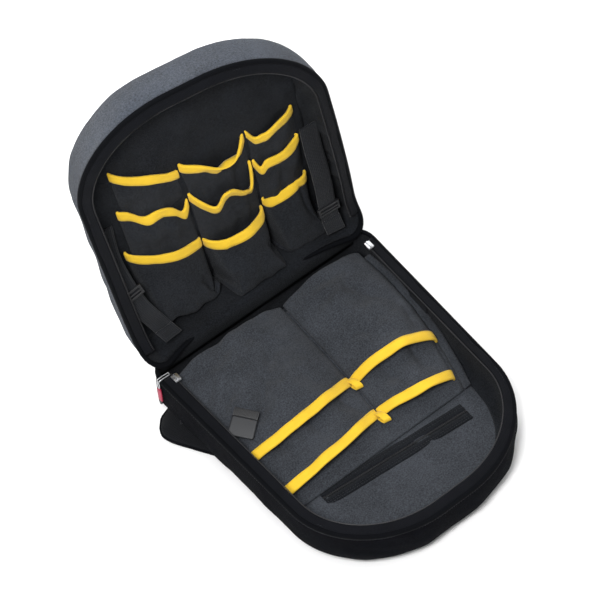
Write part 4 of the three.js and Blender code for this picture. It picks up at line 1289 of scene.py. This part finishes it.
SLIDER = (9, 13)
SLIDER_ACROSS = WIDTH / 2 - WALL - 13.6

# Blocks of a slider: middle and size
SLIDER_PARTS = (
    ((0, 0, 0.9), (8.6, 10.5, 1.5)),
    ((0, 3.6, 0.9), (6.4, 5.4, 1.5)),
    ((0, 0, 3.0), (8.6, 10.5, 1.3)),
    ((0, 1.5, 2.0), (2.2, 5.5, 2.6)),
    ((0, -3.8, 4.4), (2.4, 1.6, 1.8)),
    ((0, 4.2, 4.4), (2.4, 1.6, 1.8)),
    ((0, 0.2, 5.1), (2.4, 9.6, 1.0)),
    ((-3.9, 0, 2.0), (0.9, 10, 2.8)),
    ((3.9, 0, 2.0), (0.9, 10, 2.8)),
)

PULL = (3, 9, 34)
PULL_OUTSIDE = WIDTH / 2 + 2.1 + PULL[0] / 2
PULL_TOP = RIM + 5.1
WIRE = 0.75
GRIP_TURNS = 7  # ribs in the pull's grip, as turns of a wave along it
TIP_ROW = 21


def add_sliders():
    for name, side in (("left", -1), ("right", 1)):
        along = HINGE_CORNER + SLIDER[1] * 0.8
        place = Matrix.Translation(tray_at(side * SLIDER_ACROSS, along, RIM + 3.5 + GAP))
        slider = blocks("slider_" + name, SLIDER_PARTS, place, METAL, bevel=0.7)
        finish_piece(slider, "slider_metal", "slider_" + name)


def add_pull():
    """The long pull: a wire bridge from the left slider, a link and a grip that hangs over the wall."""
    turn = full_turn(28)
    along = HINGE_CORNER + 2.1 * np.cos(turn)
    path = tray_at(-PULL_OUTSIDE, along, PULL_TOP - 8 + 7.4 * np.sin(turn))
    link = tube("pull_link", path, WIRE, METAL, closed=True, out=(1, 0, 0))
    finish_piece(link, "slider_metal", "pull_link")
    inner = -SLIDER_ACROSS - SLIDER[0] / 2 - GAP
    stations = (
        (-PULL_OUTSIDE, PULL_TOP - 0.6),
        (-PULL_OUTSIDE + 0.4, PULL_TOP + 1.2),
        (-PULL_OUTSIDE + 2.5, PULL_TOP + 1.9),
        (inner - 3, PULL_TOP + 1.8),
        (inner + 1.5, PULL_TOP + 1.6),
    )
    across, height = smooth_path(stations, 26).T
    there, back = (tray_at(across, HINGE_CORNER + shift, height) for shift in (-1.8, 1.8))
    ring = np.concatenate([there, back[::-1]])
    bridge = tube("pull_bridge", ring, WIRE, METAL, closed=True, out=(0.3, 0, 1))
    finish_piece(bridge, "slider_metal", "pull_bridge")
    rows = np.linspace(0, 1, 30)
    wide = PULL[1] / 2 * (0.62 + 0.38 * np.sin(np.pi * np.clip(rows * 1.1, 0, 1)) ** 0.5)
    wide *= np.sqrt(np.clip(1 - np.clip((rows - 0.9) / 0.1, 0, 1) ** 2, 0.08, 1))
    ribs = np.cos(rows * 2 * math.pi * GRIP_TURNS) * ((rows > 0.15) & (rows < 0.6))
    thick = PULL[0] / 2 * (1 - 0.12 * ribs)
    turn = full_turn(16)
    across = -PULL_OUTSIDE + np.cos(turn) * thick[:, None]
    along = HINGE_CORNER - squared(np.sin(turn), 0.6) * wide[:, None]
    points = tray_at(across, along, (PULL_TOP - 16 - GAP - rows * PULL[2])[:, None])
    finish_piece(rolled("pull_tab", points[: TIP_ROW + 1], RUBBER), "pull_rubber", "pull_tab")
    finish_piece(rolled("pull_tip", points[TIP_ROW:], TIP), "pull_rubber", "pull_tab")


# The back of the bag, which it lies on

# The shoulder strap's middle line and its width: across, along and millimetres
STRAP_STATIONS = (
    (0.2, 0.9, 50), (0.215, 0.84, 60), (0.25, 0.66, 64), (0.3, 0.46, 66),
    (0.375, 0.28, 66), (0.44, 0.19, 64), (0.49, 0.135, 56), (0.525, 0.09, 40),
)
STRAP_WEB = ((0.36, 0.035), (0.465, 0.17))

# Each pad: name, half its width, start and end along the bag
PADS = (("back_pad_lumbar", 0.265, 0.05, 0.3), ("back_pad_upper", 0.095, 0.35, 0.84))
PAD_POWER = 5.0  # how square a pad's corners are


def add_shoulder_strap(name, side):
    """A padded strap that lies folded under the bag, with a quilted line and a tape on its edge."""
    stations = np.array(STRAP_STATIONS) * (side * WIDTH, LENGTH, 1)
    right, ahead, width = smooth_path(stations, 90).T
    path = tray_at(right, ahead, 0)
    across = unit(np.cross(unit(np.gradient(path, axis=0)), UPWARDS))
    reach = np.linspace(0, 1, len(path))
    ends = np.clip(np.minimum(reach, 1 - reach) / 0.045, 0, 1)
    half = width / 2 * np.sqrt(1 - (1 - ends) ** 2).clip(0.12)
    turn = full_turn(32)
    u = squared(np.cos(turn), 0.5)
    quilt = 1 - 0.16 * np.exp(-((np.abs(u) - 0.72) / 0.09) ** 2)
    thick = squared(np.sin(turn), 0.5) * quilt * (0.45 + 0.55 * np.sqrt(ends))[:, None]
    rings = path[:, None] + across[:, None] * (half[:, None] * u)[..., None]
    rings = rings + UPWARDS * (STRAP_THICK / 2 * (1 + thick))[..., None]
    piece = rolled("shoulder_strap_" + name, rings, PAD_MESH)
    finish_piece(piece, "pad_fabric", "shoulder_strap_" + name, fill=0.5)
    middle = path + UPWARDS * STRAP_THICK / 2
    reach = across * half[:, None]
    loop = np.concatenate([middle - reach, (middle + reach)[::-1]])
    tape = tube("strap_edge_" + name, loop, 2.3, EDGE_CLOTH, sides=10, closed=True)
    finish_piece(tape, "pad_fabric")


def add_strap_web(name, side):
    """The webbing from the bag's bottom corner to the shoulder strap."""
    height = STRAP_THICK + GAP + WEB_THICK / 2
    start, end = (tray_at(side * a * WIDTH, l * LENGTH, height) for a, l in STRAP_WEB)
    run = lerp(start, end, np.linspace(0, 1, 14)[:, None])
    sides = np.broadcast_to(np.cross(end - start, UPWARDS), run.shape)
    web = ribbon("strap_web_" + name, run, sides, WEB_WIDTH, WEB_THICK, WEB_CLOTH)
    finish_piece(web, "webbing", "strap_web_" + name)


def add_yoke():
    thick = PAD_THICK - STRAP_THICK - GAP
    across = np.linspace(-0.21, 0.21, 40) * WIDTH
    run = tray_at(across, 0.885 * LENGTH, STRAP_THICK + GAP + thick / 2)
    sides = np.broadcast_to([0, 1.0, 0], run.shape)
    yoke = ribbon("strap_yoke", run, sides, 0.075 * LENGTH, thick, WEB_CLOTH, columns=14)
    finish_piece(yoke, "webbing", "strap_yoke")


def add_back():
    for name, side in (("left", -1), ("right", 1)):
        add_shoulder_strap(name, side)
        add_strap_web(name, side)
    for name, half, start, end in PADS:
        add_pad(name, half * WIDTH, start * LENGTH, end * LENGTH)
    add_yoke()


def add_pad(name, half, start, end):
    """A foam pad: crowned towards the wearer's back, with rounded edges."""
    middle, reach = (start + end) / 2, (end - start) / 2
    turn = full_turn(96)
    cos, sin = np.cos(turn), np.sin(turn)
    radius = (np.abs(cos) ** PAD_POWER + np.abs(sin) ** PAD_POWER) ** (-1 / PAD_POWER)
    rings = []
    for t in np.linspace(-math.pi / 2, math.pi / 2, 25):
        inset = (1 - abs(math.cos(t)) ** 0.35) * min(half, reach) * 0.98
        height = PAD_THICK / 2 * (1 + squared(math.sin(t), 0.8))
        x = radius * cos * (half - inset * min(1, half / reach))
        y = radius * sin * (reach - inset * min(1, reach / half))
        rings.append(tray_at(x, middle + y, height))
    piece = rolled(name, np.stack(rings), PAD_MESH)
    finish_piece(piece, "pad_fabric", name, fill=0.6)


# Camera, light and stage

# The camera was fitted to the two rims in the photo: millimetres, radians and pixels
AIM = (18.83, HINGE_Y - 70.87, 120.0)
CAMERA_DISTANCE = 3071.3
CAMERA_TURN = 0.6205
CAMERA_DROP = 0.9717
CAMERA_ROLL = -0.0699
FOCAL = 2501
FRAME_SIZE = 600

FLOOR_HALF = 6.0
WORLD_STRENGTH = 0.42
LIT_PLACE = (0, 0.05, 0.15)

# Each lamp: name, place and width in metres, and power in watts
LAMPS = (
    ("window", (0.5, 1.9, 2.0), 1.4, 48),
    ("side_window", (-0.9, -0.7, 2.0), 0.5, 46),
    ("ceiling", (0.5, 0.1, 2.4), 2.4, 24),
)


def add_camera():
    """The photograph's viewpoint: where it looks, from how far, and how it is turned."""
    sin, cos = math.sin(CAMERA_TURN), math.cos(CAMERA_TURN)
    level = math.cos(CAMERA_DROP)
    ahead = np.array([sin * level, cos * level, -math.sin(CAMERA_DROP)])
    right = np.array([cos, -sin, 0.0])
    up = np.cross(right, ahead)
    side = right * math.cos(CAMERA_ROLL) + up * math.sin(CAMERA_ROLL)
    top = up * math.cos(CAMERA_ROLL) - right * math.sin(CAMERA_ROLL)
    camera = add_object("camera", bpy.data.cameras.new("camera"))
    camera.data.sensor_width = 36
    camera.data.lens = FOCAL / FRAME_SIZE * camera.data.sensor_width
    camera.data.clip_end = 50
    place = (np.array(AIM) - ahead * CAMERA_DISTANCE) * MM
    camera.matrix_world = axes_matrix(side, top, -ahead, place)
    bpy.context.scene.camera = camera


def add_light(name, place, width, power):
    lamp = bpy.data.lights.new(name, "AREA")
    lamp.shape = "RECTANGLE"
    lamp.size = lamp.size_y = width
    lamp.energy = power
    light = add_object(name, lamp)
    light.location = place
    light.rotation_euler = (Vector(LIT_PLACE) - Vector(place)).to_track_quat("-Z", "Y").to_euler()


def add_stage():
    """White paper that the bag lies on, a pale room and the lamps."""
    mesh = bpy.data.meshes.new("floor")
    corners = [(x * FLOOR_HALF, y * FLOOR_HALF, 0) for x, y in ((-1, -1), (1, -1), (1, 1), (-1, 1))]
    mesh.from_pydata(corners, [], [(0, 1, 2, 3)])
    floor = add_object("floor", mesh)
    paper = Shader("floor_paper", Roughness=0.95, Specular_IOR_Level=0.1)
    paper.colour(paper.noise(900, detail=1.0), (0.9, 0.9, 0.9), (0.915, 0.915, 0.915))
    mesh.materials.append(paper.material)
    world = bpy.data.worlds.new("studio")
    world.use_nodes = True
    background = world.node_tree.nodes["Background"]
    background.inputs[0].default_value = (1, 1, 1, 1)
    background.inputs[1].default_value = WORLD_STRENGTH
    bpy.context.scene.world = world
    for lamp in LAMPS:
        add_light(*lamp)
    bpy.context.scene.view_settings.view_transform = "Standard"


add_camera()
add_stage()
add_walls()
add_panels()
add_linings()
add_rim("lid", lid_at, False)
add_rim("tray", tray_down, True)
add_hinge()
add_lid_pockets()
add_board()
add_tray_pockets()
add_tape_folds()
add_floor_zip()
add_lid_straps()
add_tray_locks()
add_sliders()
add_pull()
add_back()
